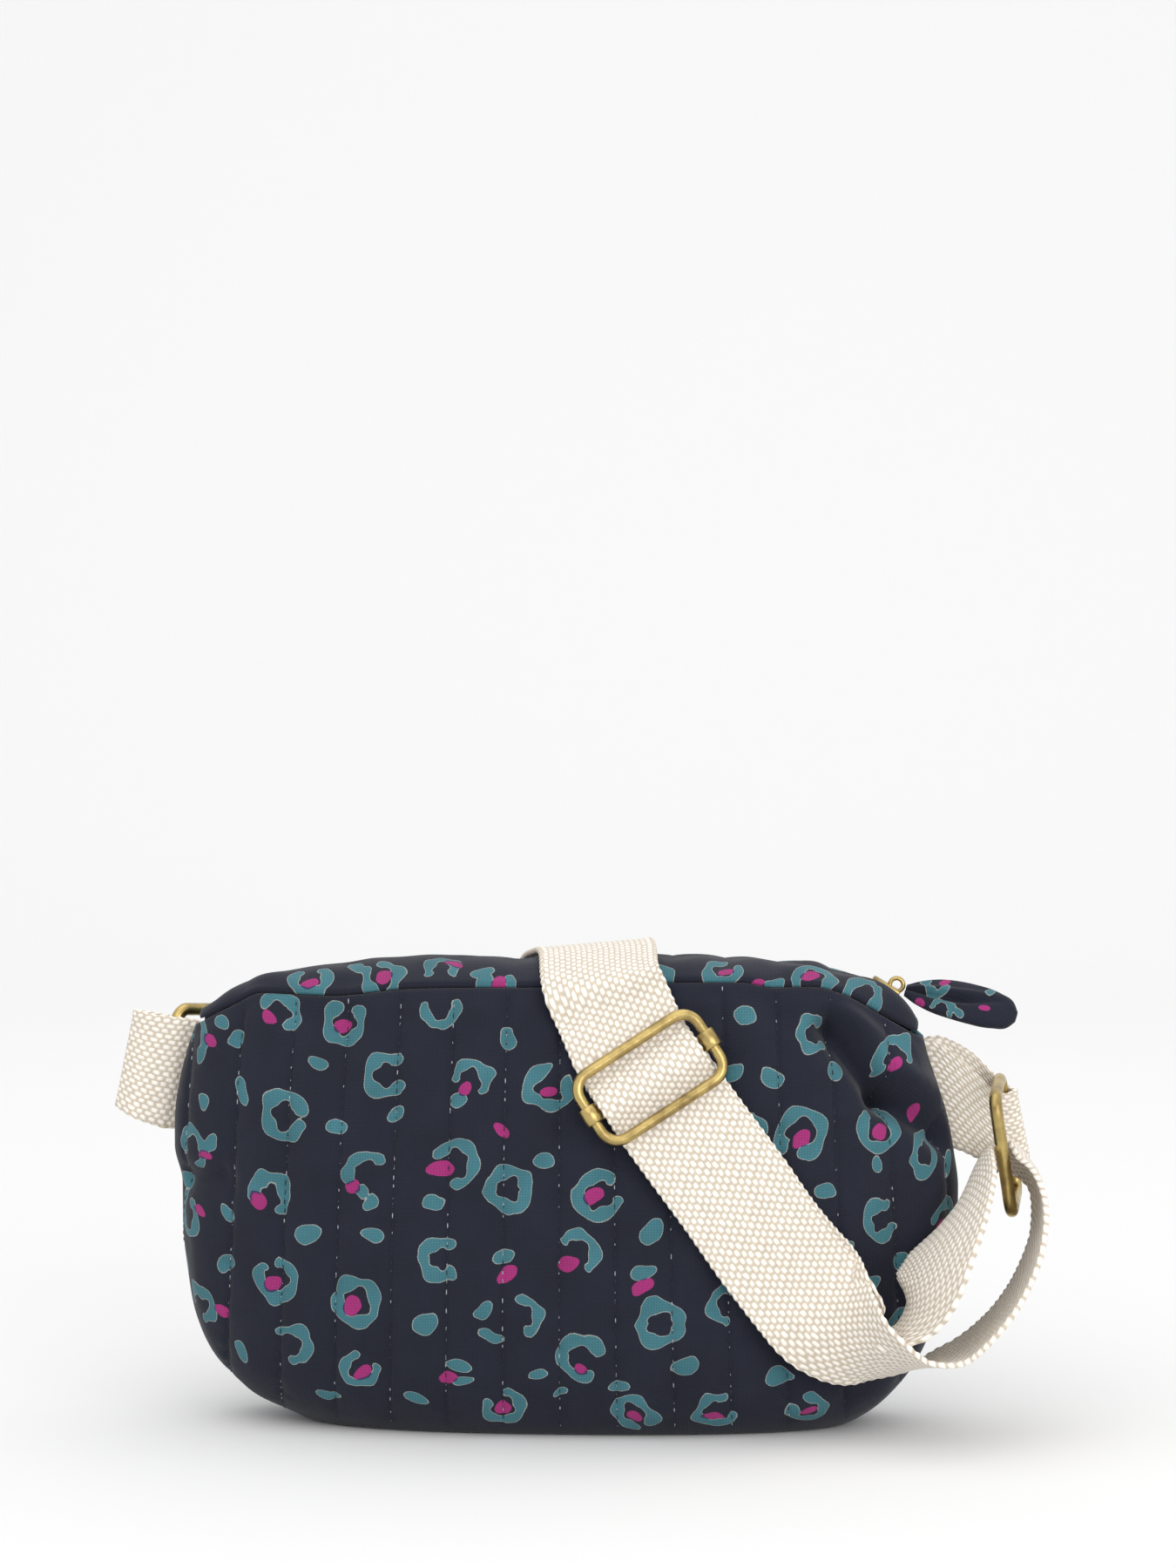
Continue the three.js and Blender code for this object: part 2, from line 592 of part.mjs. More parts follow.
function closedGeometry(geometry) {
  geometry.deleteAttribute('normal');
  geometry.deleteAttribute('uv');
  return mergeVertices(geometry, 0.001);
}

function wireGeometry(inner, depth, wire, corner) {
  const outline = new RoundedRectangle(inner + wire, depth + wire, corner);
  const geometry = closedGeometry(new THREE.TubeGeometry(outline, 40, wire / 2, 8, true));
  geometry.computeVertexNormals();
  return geometry;
}

// Stands a piece made in its own XY plane at a place, with its X and Y along two given ways.
function placement(at, long, short) {
  const x = new THREE.Vector3(...long).normalize();
  const y = new THREE.Vector3(...short);
  y.addScaledVector(x, -y.dot(x)).normalize();
  const z = new THREE.Vector3().crossVectors(x, y);
  return new THREE.Matrix4().makeBasis(x, y, z).setPosition(new THREE.Vector3(...at));
}

function sliderPlacement() {
  const at = onFront(SLIDER_AT.x, SLIDER_AT.z, SLIDER_AT.lift);
  const below = onFront(SLIDER_AT.x + 4.5, SLIDER_AT.z - 6.6, SLIDER_AT.lift);
  return placement(at.toArray(), frontStation(SLIDER_AT).width.toArray(), below.sub(at).toArray());
}

function solidOf(geometry) {
  const merged = closedGeometry(geometry);
  const mesh = new wasm.Mesh({
    numProp: 3,
    vertProperties: Float32Array.from(merged.attributes.position.array),
    triVerts: Uint32Array.from(merged.index.array),
  });
  return new wasm.Manifold(mesh);
}

function geometryOf(solid) {
  const mesh = solid.getMesh();
  const geometry = new THREE.BufferGeometry();
  geometry.setAttribute('position', new THREE.BufferAttribute(mesh.vertProperties, 3));
  geometry.setIndex(new THREE.BufferAttribute(mesh.triVerts, 1));
  geometry.computeVertexNormals();
  return geometry;
}

// The strap slider's bar: a flat strip whose ends are curled into a sleeve round each short side.
function sliderBarGeometry() {
  const bore = SLIDER_WIRE / 2 + PLY_GAP;
  const outside = bore + SLEEVE_WALL;
  const reach = (SLIDER_INNER + SLIDER_WIRE) / 2;
  const half = SLEEVE_LENGTH / 2;
  const profile = [
    new THREE.Vector2(bore, -half),
    new THREE.Vector2(outside, -half),
    new THREE.Vector2(outside, half),
    new THREE.Vector2(bore, half),
    new THREE.Vector2(bore, -half),
  ];
  const strip = new THREE.BoxGeometry(2 * reach, BAR_WIDTH, BAR_THICK);
  strip.translate(0, 0, bore + SLEEVE_WALL / 2);
  let bar = solidOf(strip);
  const bores = [];
  for (const side of [-1, 1]) {
    const sleeve = new THREE.LatheGeometry(profile, 16);
    sleeve.translate(side * reach, 0, 0);
    bar = bar.add(solidOf(sleeve));
    const hole = new THREE.CylinderGeometry(bore, bore, SLEEVE_LENGTH + BAR_WIDTH, 16);
    hole.translate(side * reach, 0, 0);
    bores.push(solidOf(hole));
  }
  for (const hole of bores) {
    bar = bar.subtract(hole);
  }
  return geometryOf(bar);
}

// The zip's slider: a small waisted body with a round bail on it.
function zipSliderGeometry() {
  const outline = new THREE.Shape();
  const half = ZIP_SLIDER_LENGTH / 2;
  outline.moveTo(-half, -ZIP_SLIDER_WIDTH * 0.34);
  outline.quadraticCurveTo(0, -ZIP_SLIDER_WIDTH * 0.3, half, -ZIP_SLIDER_WIDTH / 2);
  outline.lineTo(half, ZIP_SLIDER_WIDTH / 2);
  outline.quadraticCurveTo(0, ZIP_SLIDER_WIDTH * 0.3, -half, ZIP_SLIDER_WIDTH * 0.34);
  const raised = { depth: ZIP_SLIDER_HEIGHT, bevelEnabled: false, curveSegments: 4 };
  const body = new THREE.ExtrudeGeometry(outline, raised);
  const bail = new THREE.TorusGeometry(BAIL_RADIUS, BAIL_WIRE / 2, 8, 16);
  bail.rotateX(Math.PI / 2);
  bail.translate(half - BAIL_RADIUS, 0, ZIP_SLIDER_HEIGHT + BAIL_RADIUS * 0.5);
  return geometryOf(solidOf(body).add(solidOf(bail)));
}

function zipSliderPlacement() {
  const u = ZIP_SLIDER_AT / levelAt(1, 'right');
  const here = gussetPoint(u, 2, 1);
  const ahead = gussetPoint(u + 0.03, 2, 1).sub(gussetPoint(u - 0.03, 2, 1));
  const at = [here.x, 0, here.z + PLY_GAP + ZIP_SLIDER_LIFT];
  return placement(at, [ahead.x, 0, ahead.z], [0, 1, 0]);
}

// The printed cloth pull: a folded leaf with a crease down its middle.
function pullTabGeometry() {
  const from = new THREE.Vector3(...PULL_FROM);
  const along = new THREE.Vector3(...PULL_TO).sub(from).normalize();
  const face = new THREE.Vector3(...PULL_FACE);
  face.addScaledVector(along, -face.dot(along)).normalize();
  const side = new THREE.Vector3().crossVectors(face, along);
  const outer = [];
  const inner = [];
  for (const row of PULL_ROWS) {
    const outerRow = [];
    const innerRow = [];
    for (const share of [-1, -0.5, 0, 0.5, 1]) {
      const point = from.clone().addScaledVector(along, row.along).addScaledVector(side, share * row.half);
      point.addScaledVector(face, row.rise - row.crease * (1 - Math.abs(share)));
      const thick = PULL_THICK * (1 - 0.5 * Math.abs(share));
      outerRow.push(point.clone().addScaledVector(face, thick / 2));
      innerRow.push(point.clone().addScaledVector(face, -thick / 2));
    }
    outer.push(outerRow);
    inner.push(innerRow);
  }
  return gridSolid(inner, outer);
}

const parts = new THREE.Group();

function addPart(name, geometry, colour, roughness, metalness, matrix) {
  const material = new THREE.MeshStandardMaterial({ color: colour, roughness, metalness });
  const mesh = new THREE.Mesh(geometry, material);
  mesh.name = name;
  if (matrix) {
    mesh.applyMatrix4(matrix);
  }
  parts.add(mesh);
}

const NAVY = 0x2b2f42;
const CREAM = 0xe6dcc8;
const BRASS = 0xb5924a;

addPart('front_panel', panelGeometry(-1), NAVY, 0.85, 0);
addPart('back_panel', panelGeometry(1), NAVY, 0.85, 0);
addPart('belt', beltGeometry(), CREAM, 0.9, 0);
addPart('tab_left', tabGeometry(TAB_LEFT, TAB_LEFT_ROUTE), CREAM, 0.9, 0);
addPart('tab_right', tabGeometry(TAB_RIGHT, TAB_RIGHT_ROUTE), CREAM, 0.9, 0);
addPart('gusset_front', gussetGeometry(-1), NAVY, 0.85, 0);
addPart('gusset_back', gussetGeometry(1), NAVY, 0.85, 0);
addPart('zip_tape_front', zipStripGeometry(-1, -0.05, TEETH_HEIGHT + PLY_GAP, ZIP_TAPE_THICK), NAVY, 0.8, 0);
addPart('zip_tape_back', zipStripGeometry(0.05, 1, TEETH_HEIGHT + PLY_GAP, ZIP_TAPE_THICK), NAVY, 0.8, 0);
addPart('zip_teeth', zipStripGeometry(-TEETH_SHARE, TEETH_SHARE, 0, TEETH_HEIGHT), NAVY, 0.5, 0);
addPart('zip_slider', zipSliderGeometry(), BRASS, 0.35, 1, zipSliderPlacement());
addPart('zip_pull_tab', pullTabGeometry(), NAVY, 0.85, 0);
const ringGeometry = wireGeometry(RING_INNER, RING_DEPTH, RING_WIRE, RING_CORNER);
const ringPlace = (ring) => placement(ring.at, ring.long, ring.short);
addPart('ring_left', ringGeometry, BRASS, 0.35, 1, ringPlace(RING_LEFT));
addPart('ring_right', ringGeometry.clone(), BRASS, 0.35, 1, ringPlace(RING_RIGHT));
const sliderGeometry = wireGeometry(SLIDER_INNER, SLIDER_DEPTH, SLIDER_WIRE, SLIDER_CORNER);
addPart('slider_frame', sliderGeometry, BRASS, 0.35, 1, sliderPlacement());
addPart('slider_bar', sliderBarGeometry(), BRASS, 0.35, 1, sliderPlacement());

export default parts;
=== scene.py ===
"""A quilted cotton belt bag with its webbing belt thrown over it, standing on a pale floor."""

import math

import bmesh
import bpy
import numpy as np
from mathutils import Matrix, Vector


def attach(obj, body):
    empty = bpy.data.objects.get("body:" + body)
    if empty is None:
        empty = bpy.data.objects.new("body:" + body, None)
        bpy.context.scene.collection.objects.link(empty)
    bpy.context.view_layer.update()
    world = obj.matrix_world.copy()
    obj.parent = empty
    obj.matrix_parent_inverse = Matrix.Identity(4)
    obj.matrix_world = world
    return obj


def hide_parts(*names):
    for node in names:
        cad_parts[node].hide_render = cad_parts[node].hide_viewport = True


bl_info = {
    "name": "Quilted belt bag",
    "version": (1, 0, 0),
    "blender": (4, 5, 0),
    "location": "View3D > Sidebar > Belt bag",
    "description": "Builds a quilted cotton belt bag with a webbing belt and brass fittings",
    "category": "Object",
}

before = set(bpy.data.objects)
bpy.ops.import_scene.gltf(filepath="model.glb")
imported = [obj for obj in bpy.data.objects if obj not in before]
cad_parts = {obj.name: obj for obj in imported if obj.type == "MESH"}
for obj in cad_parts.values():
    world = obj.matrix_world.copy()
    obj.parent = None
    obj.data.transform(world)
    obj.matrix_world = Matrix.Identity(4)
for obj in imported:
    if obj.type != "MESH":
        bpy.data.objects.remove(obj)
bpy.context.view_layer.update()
MM = 0.001
BODY = "root"


def columns(names, *rows):
    """A table of rows as one array for each named column."""
    return dict(zip(names.split(), np.array(rows, float).T))


# The body from the seam under it to the top seam, in millimetres: how far the front and the back stand out,
# the side seams, and half the opening of the side seams.
LEVELS = columns(
    "height front back left right slot",
    (0, -6, 6, -76, 82, 0.15),
    (0, 12, 14, -80, 86, 0.15),
    (0, 25, 25, -84, 91, 0.15),
    (2.5, 31, 30, -91, 98, 0.15),
    (9, 35.5, 34, -103, 106.5, 0.15),
    (20, 39, 36.5, -116, 115.5, 0.15),
    (34, 41, 38, -123, 122, 0.15),
    (50, 42, 38.5, -126, 127, 0.15),
    (66, 41.8, 38, -127.5, 129.5, 0.15),
    (80, 41, 37.2, -127.5, 129.5, 1),
    (95, 39.4, 35.8, -129.8, 128, 2.5),
    (110, 37, 33.8, -129.6, 126, 2.5),
    (124, 33.8, 31.4, -128, 123.2, 2.5),
    (137, 30, 28.8, -125.4, 120, 2.5),
    (147, 26.6, 26.4, -122.6, 117.6, 2.5),
)
TOP_SEAM = columns(
    "x z",
    (-123, 132), (-116, 136), (-109, 139.6), (-99, 144), (-76, 143.6), (-52, 146.2), (0, 147.4),
    (36, 149), (58, 149), (69, 147.2), (80, 147.4), (92, 144.6), (105, 137), (119, 128.6),
)
RIDGE = columns(
    "x z",
    (-123, 133), (-112, 142), (-100, 147.6), (-72, 152.8), (-34, 155.2), (-8, 154), (31, 155.2),
    (56, 154.6), (75, 153), (92, 149.6), (105, 146), (113, 138.6), (119, 128.6),
)
# Dents and folds of the front as lines in its outline: how deep and how wide each is pressed in, and how far
# the cloth stands up along the upper side of it.
FRONT_FOLDS = (
    # x0, z0, x1, z1, depth, half, rise of the lip beside it
    (87, 134, 105, 111, 9, 4.6, 3.2),
    (105, 111, 124, 98, 7, 5, 2.6),
    (-130, 80, -112, 84, 3.2, 4.5, 0),
    (-84, 141, -70, 134, 2, 9, 0),
    (62, 146, 72, 138, 1.6, 7, 0),
)
SIDE_ROUND = 2.4
TOP_HEIGHT = 147
HALF_GAP = 0.15
LINE_SPREAD = 0.07
GUSSET_SEAT = 0.8
GUSSET_CROWN = 1.2
GUSSET_TURN = 2.6
GUSSET_END = 0.985
BACK_RIDGE_DROP = 2
BACK_SHOULDER_DROP = 3.4
ZIP_END = 0.94
ZIP_RISE = 0.9
PLY_GAP = 0.3
PICK = 3.0
PICK_ROW = 1.8
# Rows of LEVELS that lie on the floor, and the share up the cloth at which the bag is widest.
BASE_LEVELS = 2
WIDEST_SHARE = 0.62
HALVINGS = 30
# Points across and up the grids of the two panels.
FRONT_GRID = (341, 201)
BACK_GRID = (221, 131)
# Height, length and seed of the crumples in the cloth.
CRUMPLES = ((0.8, 34, 23), (0.45, 15, 29), (0.16, 6, 31))
CRUMPLE_SHARE = 0.7
# The puffs between the sewn lines, how uneven they are, and the puckers and the groove along each line.
PUFF_ROUND = 0.75
PUFF_UNEVEN = 0.25
PUCKER_RISE = 0.42
PUCKER_REACH = 4.5
GROOVE_DEPTH = 0.55
GROOVE_HALF = 0.8
LIP_REACH = 1.6
# How far a top strip's ridge and its edge at the zip lie from the middle, at least and by the bag's depth,
# and how far the ridge stands over the seam at least.
RIDGE_NEAR = 2.4
RIDGE_SHARE = 0.16
ZIP_NEAR = 1.9
ZIP_SHARE = 0.11
RIDGE_OVER_SEAT = 2.5
PANEL_ROLL = 1.6
STRIP_ROLL = 1.4
STRIP_WALL = 1.6
BASE_SKIN = 0.3
STITCH_START = 3
STITCH_LENGTH = 2.1
STITCH_RADIUS = 0.2
# How much of their charted sizes the spots are drawn with, and the steps between the strewn ones.
ARC_WEIGHT = 0.73
OVAL_WEIGHT = 0.9
FAR_AWAY = 99.0
SPOT_ROW = 22
SPOT_STEP = 26
# The zip: the half sizes of a tooth, its step, its place beside and under the zip's edge, and the tapes.
COIL_TOOTH = (0.55, 1.25, 0.75)
COIL_PITCH = 1.7
COIL_ASIDE = 0.75
COIL_SINK = 0.85
TAPE_SINK = 1.9
TAPE_SLOPE = 0.12
TAPE_THICK = 0.9
# The pull: how round its edge is, the width and the lip of its crease, its wrinkles, and where its back lies
# on the printed cloth.
PULL_ROUND = 0.7
CREASE_WIDE = 0.16
CREASE_LIP = 0.5
LIP_ASIDE = 2.2
PULL_WRINKLE = 0.3
PULL_BACK = 40
# The webbing: the step along it, the rope-like edge and how that swells at each pick.
WEBBING_STEP = 0.6
ROPE_SHARE = 1.12
EDGE_BAND = 1.4
EDGE_SWELL = 0.2
EDGE_THICKEN = 0.14
LEAST_CURL = 0.06
RING_CORNER = 4.5
# The strap slider: the corner of its wire, and the width, thickness and sleeve wall of its bar.
SLIDER_CORNER = 6
BAR_WIDE = 6
BAR_THICK = 1.2
SLEEVE_WALL = 0.9
SLEEVE_ROUND = 0.25
# The zip's slider: its body, the share of its width at the tail, the wire, radius and place of its eye, and
# its place along the zip and above it.
ZIP_BODY = (10, 7, 2)
ZIP_TAIL = 0.72
EYE_WIRE = 0.75
EYE_RADIUS = 2.2
EYE_AT = (2.8, 0, 3.1)
ZIP_SLIDER_X = 105
ZIP_SLIDER_SEAT = 2.4
# The floor in metres: where it starts to bend up behind the bag, and the radius of the bend.
FLOOR_FLAT = 1.2
FLOOR_BEND = 1.4
LIGHTS = (
    # name, place, aim, size, power
    ("key_light", (-0.6, -1.4, 1.7), (0, 0, 0.08), 1.7, 7.5),
    ("fill_light", (0.9, -1.5, 0.35), (0.1, 0, 0.05), 1.4, 14),
    ("top_light", (0.1, 0.1, 2.1), (0, 0, 0.08), 1.8, 6),
    ("backdrop_light", (0, 0.9, 2.2), (0, 2.6, 0.9), 2.4, 6),
)
CAMERA_AT = (0.0848, -1.4802, 0.3097)
# The kinds of shader node that the materials use most.
MATH = "ShaderNodeMath"
VECTOR_MATH = "ShaderNodeVectorMath"
RANGE = "ShaderNodeMapRange"
NOISE = "ShaderNodeTexNoise"
MIX = "ShaderNodeMix"

# The belt's route in five stretches, in the order in which it runs.
BELT_BACK = (
    # x, y, z, the way that its width points and the share of its width that is left
    (-100.8, 35.7, 113.5, 0.2, 0, 0.98, 0.94),
    (-110.4, 28.5, 113.9, 0.2, 0, 0.98, 0.86),
    (-116.4, 23, 113.9, 0.2, 0, 0.98, 0.85),
    (-122.5, 24, 113.9, 0.2, 0, 0.98, 0.85),
    (-120.9, 30, 113.9, 0.2, 0, 0.98, 0.85),
    (-112.6, 32.4, 113.9, 0.2, 0, 0.98, 0.86),
    (-102, 38.2, 113.5, 0.18, -0.02, 0.98, 0.94),
    (-88, 43.8, 113.4, 0.12, -0.1, 0.99, 1),
    (-66, 51, 114.5, 0.02, -0.3, 0.95, 1),
    (-44, 55.5, 119, -0.12, -0.62, 0.76, 1),
    (-25, 54, 127.4, -0.36, -0.84, 0.4, 1),
    (-10, 47, 138.8, -0.64, -0.76, 0.03, 1),
    (0, 35, 149.4, -0.82, -0.56, 0.1, 1),
    (5.6, 19.5, 154.8, -0.92, -0.38, -0.01, 1),
    (9, 4, 157.4, -0.94, -0.32, -0.06, 1),
    (10.8, -9, 157.2, -0.95, -0.26, -0.1, 1),
)
BELT_FRONT = (
    # x, z, lift off the cloth, heading of its width above level
    (13.5, 147, 4.9, 16),
    (17.2, 139.6, 2.2, 23),
    (20.4, 132.6, 2.6, 29),
    (22.7, 127.6, 4.1, 33),
    (24.7, 124.6, 4.4, 34),
    (27.9, 119.9, 8.6, 34),
    (29.2, 118, 8.8, 34),
    (30.5, 116.1, 8.5, 34),
    (33.9, 111.2, 4.5, 34),
    (36.2, 107.9, 4.1, 34),
    (44.2, 97.2, 3.8, 34),
    (55.8, 81.6, 3.8, 34),
    (67.2, 65.2, 3.9, 34),
    (78.6, 49.8, 5.4, 35),
)
BELT_LOOP = (
    # x, y, z, the way that its width points, the curl across it and the share of its width that is left,
    # which is less in the ring and in the ply that lies hidden under the strap
    (90, -46.5, 38.5, 0.7, -0.35, 0.5, 0, 1),
    (102, -48.5, 31, 0.52, -0.7, 0.42, 0, 1),
    (115, -46.5, 27.5, 0.25, -0.93, 0.25, 0, 1),
    (129, -43, 31.5, 0.1, -0.99, 0.03, 0, 1),
    (142, -40, 43, 0.08, -0.99, 0.06, 0, 1),
    (151, -34, 57, 0.08, -0.98, 0.12, -5, 1),
    (155.8, -23, 73.5, 0.04, -0.97, 0.22, -25, 0.9),
    (153.4, -14, 85.5, 0, -0.97, 0.24, -60, 0.7),
    (144.6, -8, 92.5, 0, -0.8, 0.6, -70, 0.56),
    (137.4, -11, 88, 0, -0.84, 0.54, -60, 0.57),
    (130.6, -31, 77.8, 0.36, -0.84, 0.36, -20, 0.88),
    (124, -44, 66, 0.55, -0.8, 0.24, -5, 1),
    (118.5, -49, 53.6, 0.6, -0.76, 0.25, 0, 1),
    (112.6, -47.5, 43, 0.5, -0.82, 0.28, 0, 0.74),
    (103, -41, 37.5, 0.55, -0.72, 0.36, 0, 0.56),
    (92.4, -42.6, 43, 0.72, -0.36, 0.52, 0, 0.85),
)
BELT_RETURN = (
    # x, z, lift, heading
    (80, 52, 2, 35),
    (67.8, 66.2, 1.6, 34),
    (56.4, 82.4, 1.5, 34),
    (44.8, 98, 1.5, 34),
    (37, 108.4, 1.6, 34),
    (32.4, 114.8, 1.7, 34),
    (28, 119.7, 1.8, 34),
    (25.9, 122.7, 2.2, 34),
    (24.9, 124.1, 4, 34),
    (25.9, 122.7, 6.2, 34),
    (28, 119.7, 6.5, 34),
    (30.2, 116.9, 6.6, 34),
)
# The side loops: the middle of the root, the lean of the seam, and places out from it, in depth and down it,
# with the turn of the webbing's upper edge to the front.
TAB_LEFT = (-126.8, 114.2, (0.2, 0, 0.98), -1)
TAB_LEFT_ROUTE = (
    # out, y, drop, turn, share of the width that is left
    (-7, -1.1, 0, 0, 1), (1.5, -1.1, 0, 0, 1), (4, -2.2, 0, 0, 1), (9, -3.4, 0, 0, 0.98),
    (15, -3.2, -0.4, 0, 0.94), (19.4, -0.6, -1, 0, 0.9), (20.4, 2, -1, 0, 0.88), (19.2, 4.6, -1, 0, 0.87),
    (14, 6.2, -1, 0, 0.87), (8, 5.8, -1, 0, 0.87), (4, 4.4, -1, 0, 0.88), (1.5, 1.1, -0.4, 0, 0.92),
    (-7, 1.1, 0, 0, 0.98),
)
TAB_RIGHT = (121.8, 109.5, (-0.2, 0, 0.98), 1)
TAB_RIGHT_ROUTE = (
    # out, y, drop, turn, share of the width that is left
    (-7, -1.1, 0, 0, 1), (2, -1.1, 0.4, 0, 1), (8, -0.8, 5, 2, 0.96), (15, 0.8, 13, 5, 0.88),
    (20.4, 2.2, 18.2, 8, 0.77), (24.8, 4, 18.4, 8, 0.75), (25.8, 7, 18, 8, 0.75), (23, 10.4, 16.8, 8, 0.77),
    (15.5, 10.6, 8, 5, 0.9), (8, 4.4, 2, 2, 0.97), (4, 1.3, 0.2, 0, 1), (-7, 1.1, 0, 0, 1),
)
# The middle, the long way and the short way of each brass frame.
RING_LEFT = ((-125.7, 14, 115.2), (0.2, 0, 0.98), (0.5, 0.86, -0.1))
RING_RIGHT = ((144.8, -8, 93.7), (-0.15, -0.12, 0.98), (-0.09, -0.98, -0.17))
SLIDER_AT = (29.2, 118, 7.2, 34)

# The printed pull: its middle line, and along it the half width, half its thickness, how deep its crease is
# and where it lies across, and its bow.
PULL_FROM = (111.9, -1, 143.6)
PULL_TO = (147.6, -7, 135.8)
PULL_FACE = (0.1, -0.8, 0.6)
PULL_ROWS = columns(
    "along half thick crease fold rise",
    (0, 2.1, 1, 0.6, 0, 0),
    (4, 4.2, 1.6, 1.6, -0.05, 0.5),
    (10, 6.2, 2.3, 2.4, -0.12, 1.1),
    (18, 7.2, 2.7, 2.4, -0.1, 1.4),
    (25, 7.3, 2.8, 1.4, 0.1, 1.2),
    (31, 6.5, 2.6, 0.4, 0.35, 0.8),
    (35.5, 4.7, 2, 0, 0.5, 0.3),
    (37.5, 1.8, 1, 0, 0.5, 0),
)

# The spots of the front's print, charted in millimetres. An arc is a ring with a gap: gap is the angle
# left open and turn is where it opens, counted from the right. An oval has a long half-width and a turn.
ARCS = (
    # x, z, radius, half thickness, gap, turn
    (-92, 138, 5.2, 2.3, 130, 235), (-71, 135, 5.6, 2.4, 60, 80), (-57, 119, 5.4, 2.6, 100, 5),
    (-39, 140, 4.8, 2.2, 150, 95), (-90, 105, 6.2, 2.8, 50, 350), (-28, 118, 5.4, 2.1, 150, 250),
    (-16, 83, 5.8, 2.8, 0, 0), (-34, 91, 6.2, 2.6, 120, 205), (-63, 87, 6, 2.4, 140, 330),
    (-95, 79, 5.8, 2.6, 110, 250), (-39, 60, 5.4, 2.6, 95, 0), (-12, 42, 5.2, 2.2, 190, 190),
    (-93, 51, 6, 2.5, 60, 110), (-66, 45, 6.6, 2.7, 30, 150), (-88, 30, 5.6, 2.3, 150, 205),
    (-65, 23, 5, 2.2, 110, 50), (7, 29, 6, 2.5, 90, 330), (33, 40, 6, 2.9, 0, 0),
    (6, 63, 5.6, 2.2, 170, 225), (13, 81, 6.4, 2.6, 70, 20), (-3, 115, 6.4, 2.5, 80, 60),
    (-18, 11, 5.4, 2.4, 80, 120), (24, 9, 6, 2.5, 60, 300), (50, 10, 5.8, 2.4, 90, 20),
    (80, 10, 5.6, 2.4, 70, 130), (55, 47, 5.6, 2.4, 120, 320), (82, 132.5, 5.4, 2.5, 110, 0),
    (107, 123.5, 5.8, 2.4, 130, 270), (78, 100.5, 6.6, 2.7, 70, 250), (103, 101.5, 6, 2.5, 90, 90),
    (118, 92.5, 5.2, 2.4, 0, 0), (104, 72.5, 5.2, 2.5, 110, 20), (57, 68.5, 5.6, 2.5, 90, 45),
    (40, 90, 5.4, 2.4, 110, 200), (110, 36.5, 5.2, 2.3, 90, 300), (60, 100.5, 5.2, 2.4, 100, 120),
    (-122, 92, 5.4, 2.3, 90, 250), (-123.5, 70, 5.4, 2.3, 80, 100), (-119, 41, 5.2, 2.3, 100, 240),
    (-121, 128, 5, 2.2, 100, 250), (124, 70, 5.2, 2.3, 90, 200), (122, 46, 5.2, 2.3, 110, 80),
)
OVALS = (
    # x, z, long half, short half, turn
    (-79, 121, 3.9, 2.7, 160), (-105, 112, 4.4, 2.4, 110), (-73, 102, 4.3, 2.8, 10), (-53, 106, 3.8, 2.6, 30),
    (-17, 130, 4, 2.9, 130), (-5, 92, 3.9, 3.4, 20), (-33, 111, 3.6, 2.4, 20), (-61, 78.5, 3.4, 2.4, 40),
    (-109, 72, 3.2, 2.3, 120), (-41, 78, 4.2, 3.1, 170), (-82, 67, 4.6, 3.3, 25), (-60, 67, 4.6, 3, 175),
    (-110, 55, 4.2, 3, 60), (-18, 60.5, 4.2, 2.6, 10), (-43, 39, 5.2, 3.4, 25), (-24, 44, 4.2, 3, 30),
    (-22, 35, 4.4, 2.1, 155), (-33, 26, 4.6, 2.3, 175), (-32, 21, 4, 1.8, 10), (-7, 22, 3.8, 2.3, 15),
    (27, 57, 4.6, 2.6, 15), (30, 70, 4.5, 3, 50), (-76, 13, 4.4, 2.4, 165), (-46, 14, 4.2, 2, 165),
    (41, 26, 4.6, 2.8, 35), (0, 15, 2.6, 1.6, 30), (19, 19, 4, 2.1, 10), (71, 22, 4.8, 3, 165),
    (81, 29, 4.4, 2.7, 170), (69, 118.5, 4, 3.1, 170), (89, 119.5, 3.8, 3, 100), (103, 89.5, 3.6, 2.4, 110),
    (86, 81.5, 4.3, 2.9, 175), (100, 51.5, 4.2, 3, 20), (59, 138.5, 4, 3.2, 150), (55, 121, 4.2, 3, 20),
    (-108, 129, 4, 2.8, 40), (-112, 134, 4, 2.6, 30), (-115, 95, 3.8, 2.4, 60), (-105, 26, 4.2, 3, 110),
    (-117, 107, 3, 2, 90), (92, 62.5, 4, 2.8, 60), (62, 84.5, 4, 2.8, 30), (94, 20, 4.2, 2.8, 160),
    (110, 58.5, 3.8, 2.6, 100), (72, 44.5, 4.2, 2.8, 20),
    (-125.5, 52, 4, 2.8, 60), (-122, 26, 4, 2.6, 100), (-126.2, 80, 3.8, 2.6, 30), (120, 28, 4, 2.8, 30),
    (126, 88, 4, 2.6, 60),
)
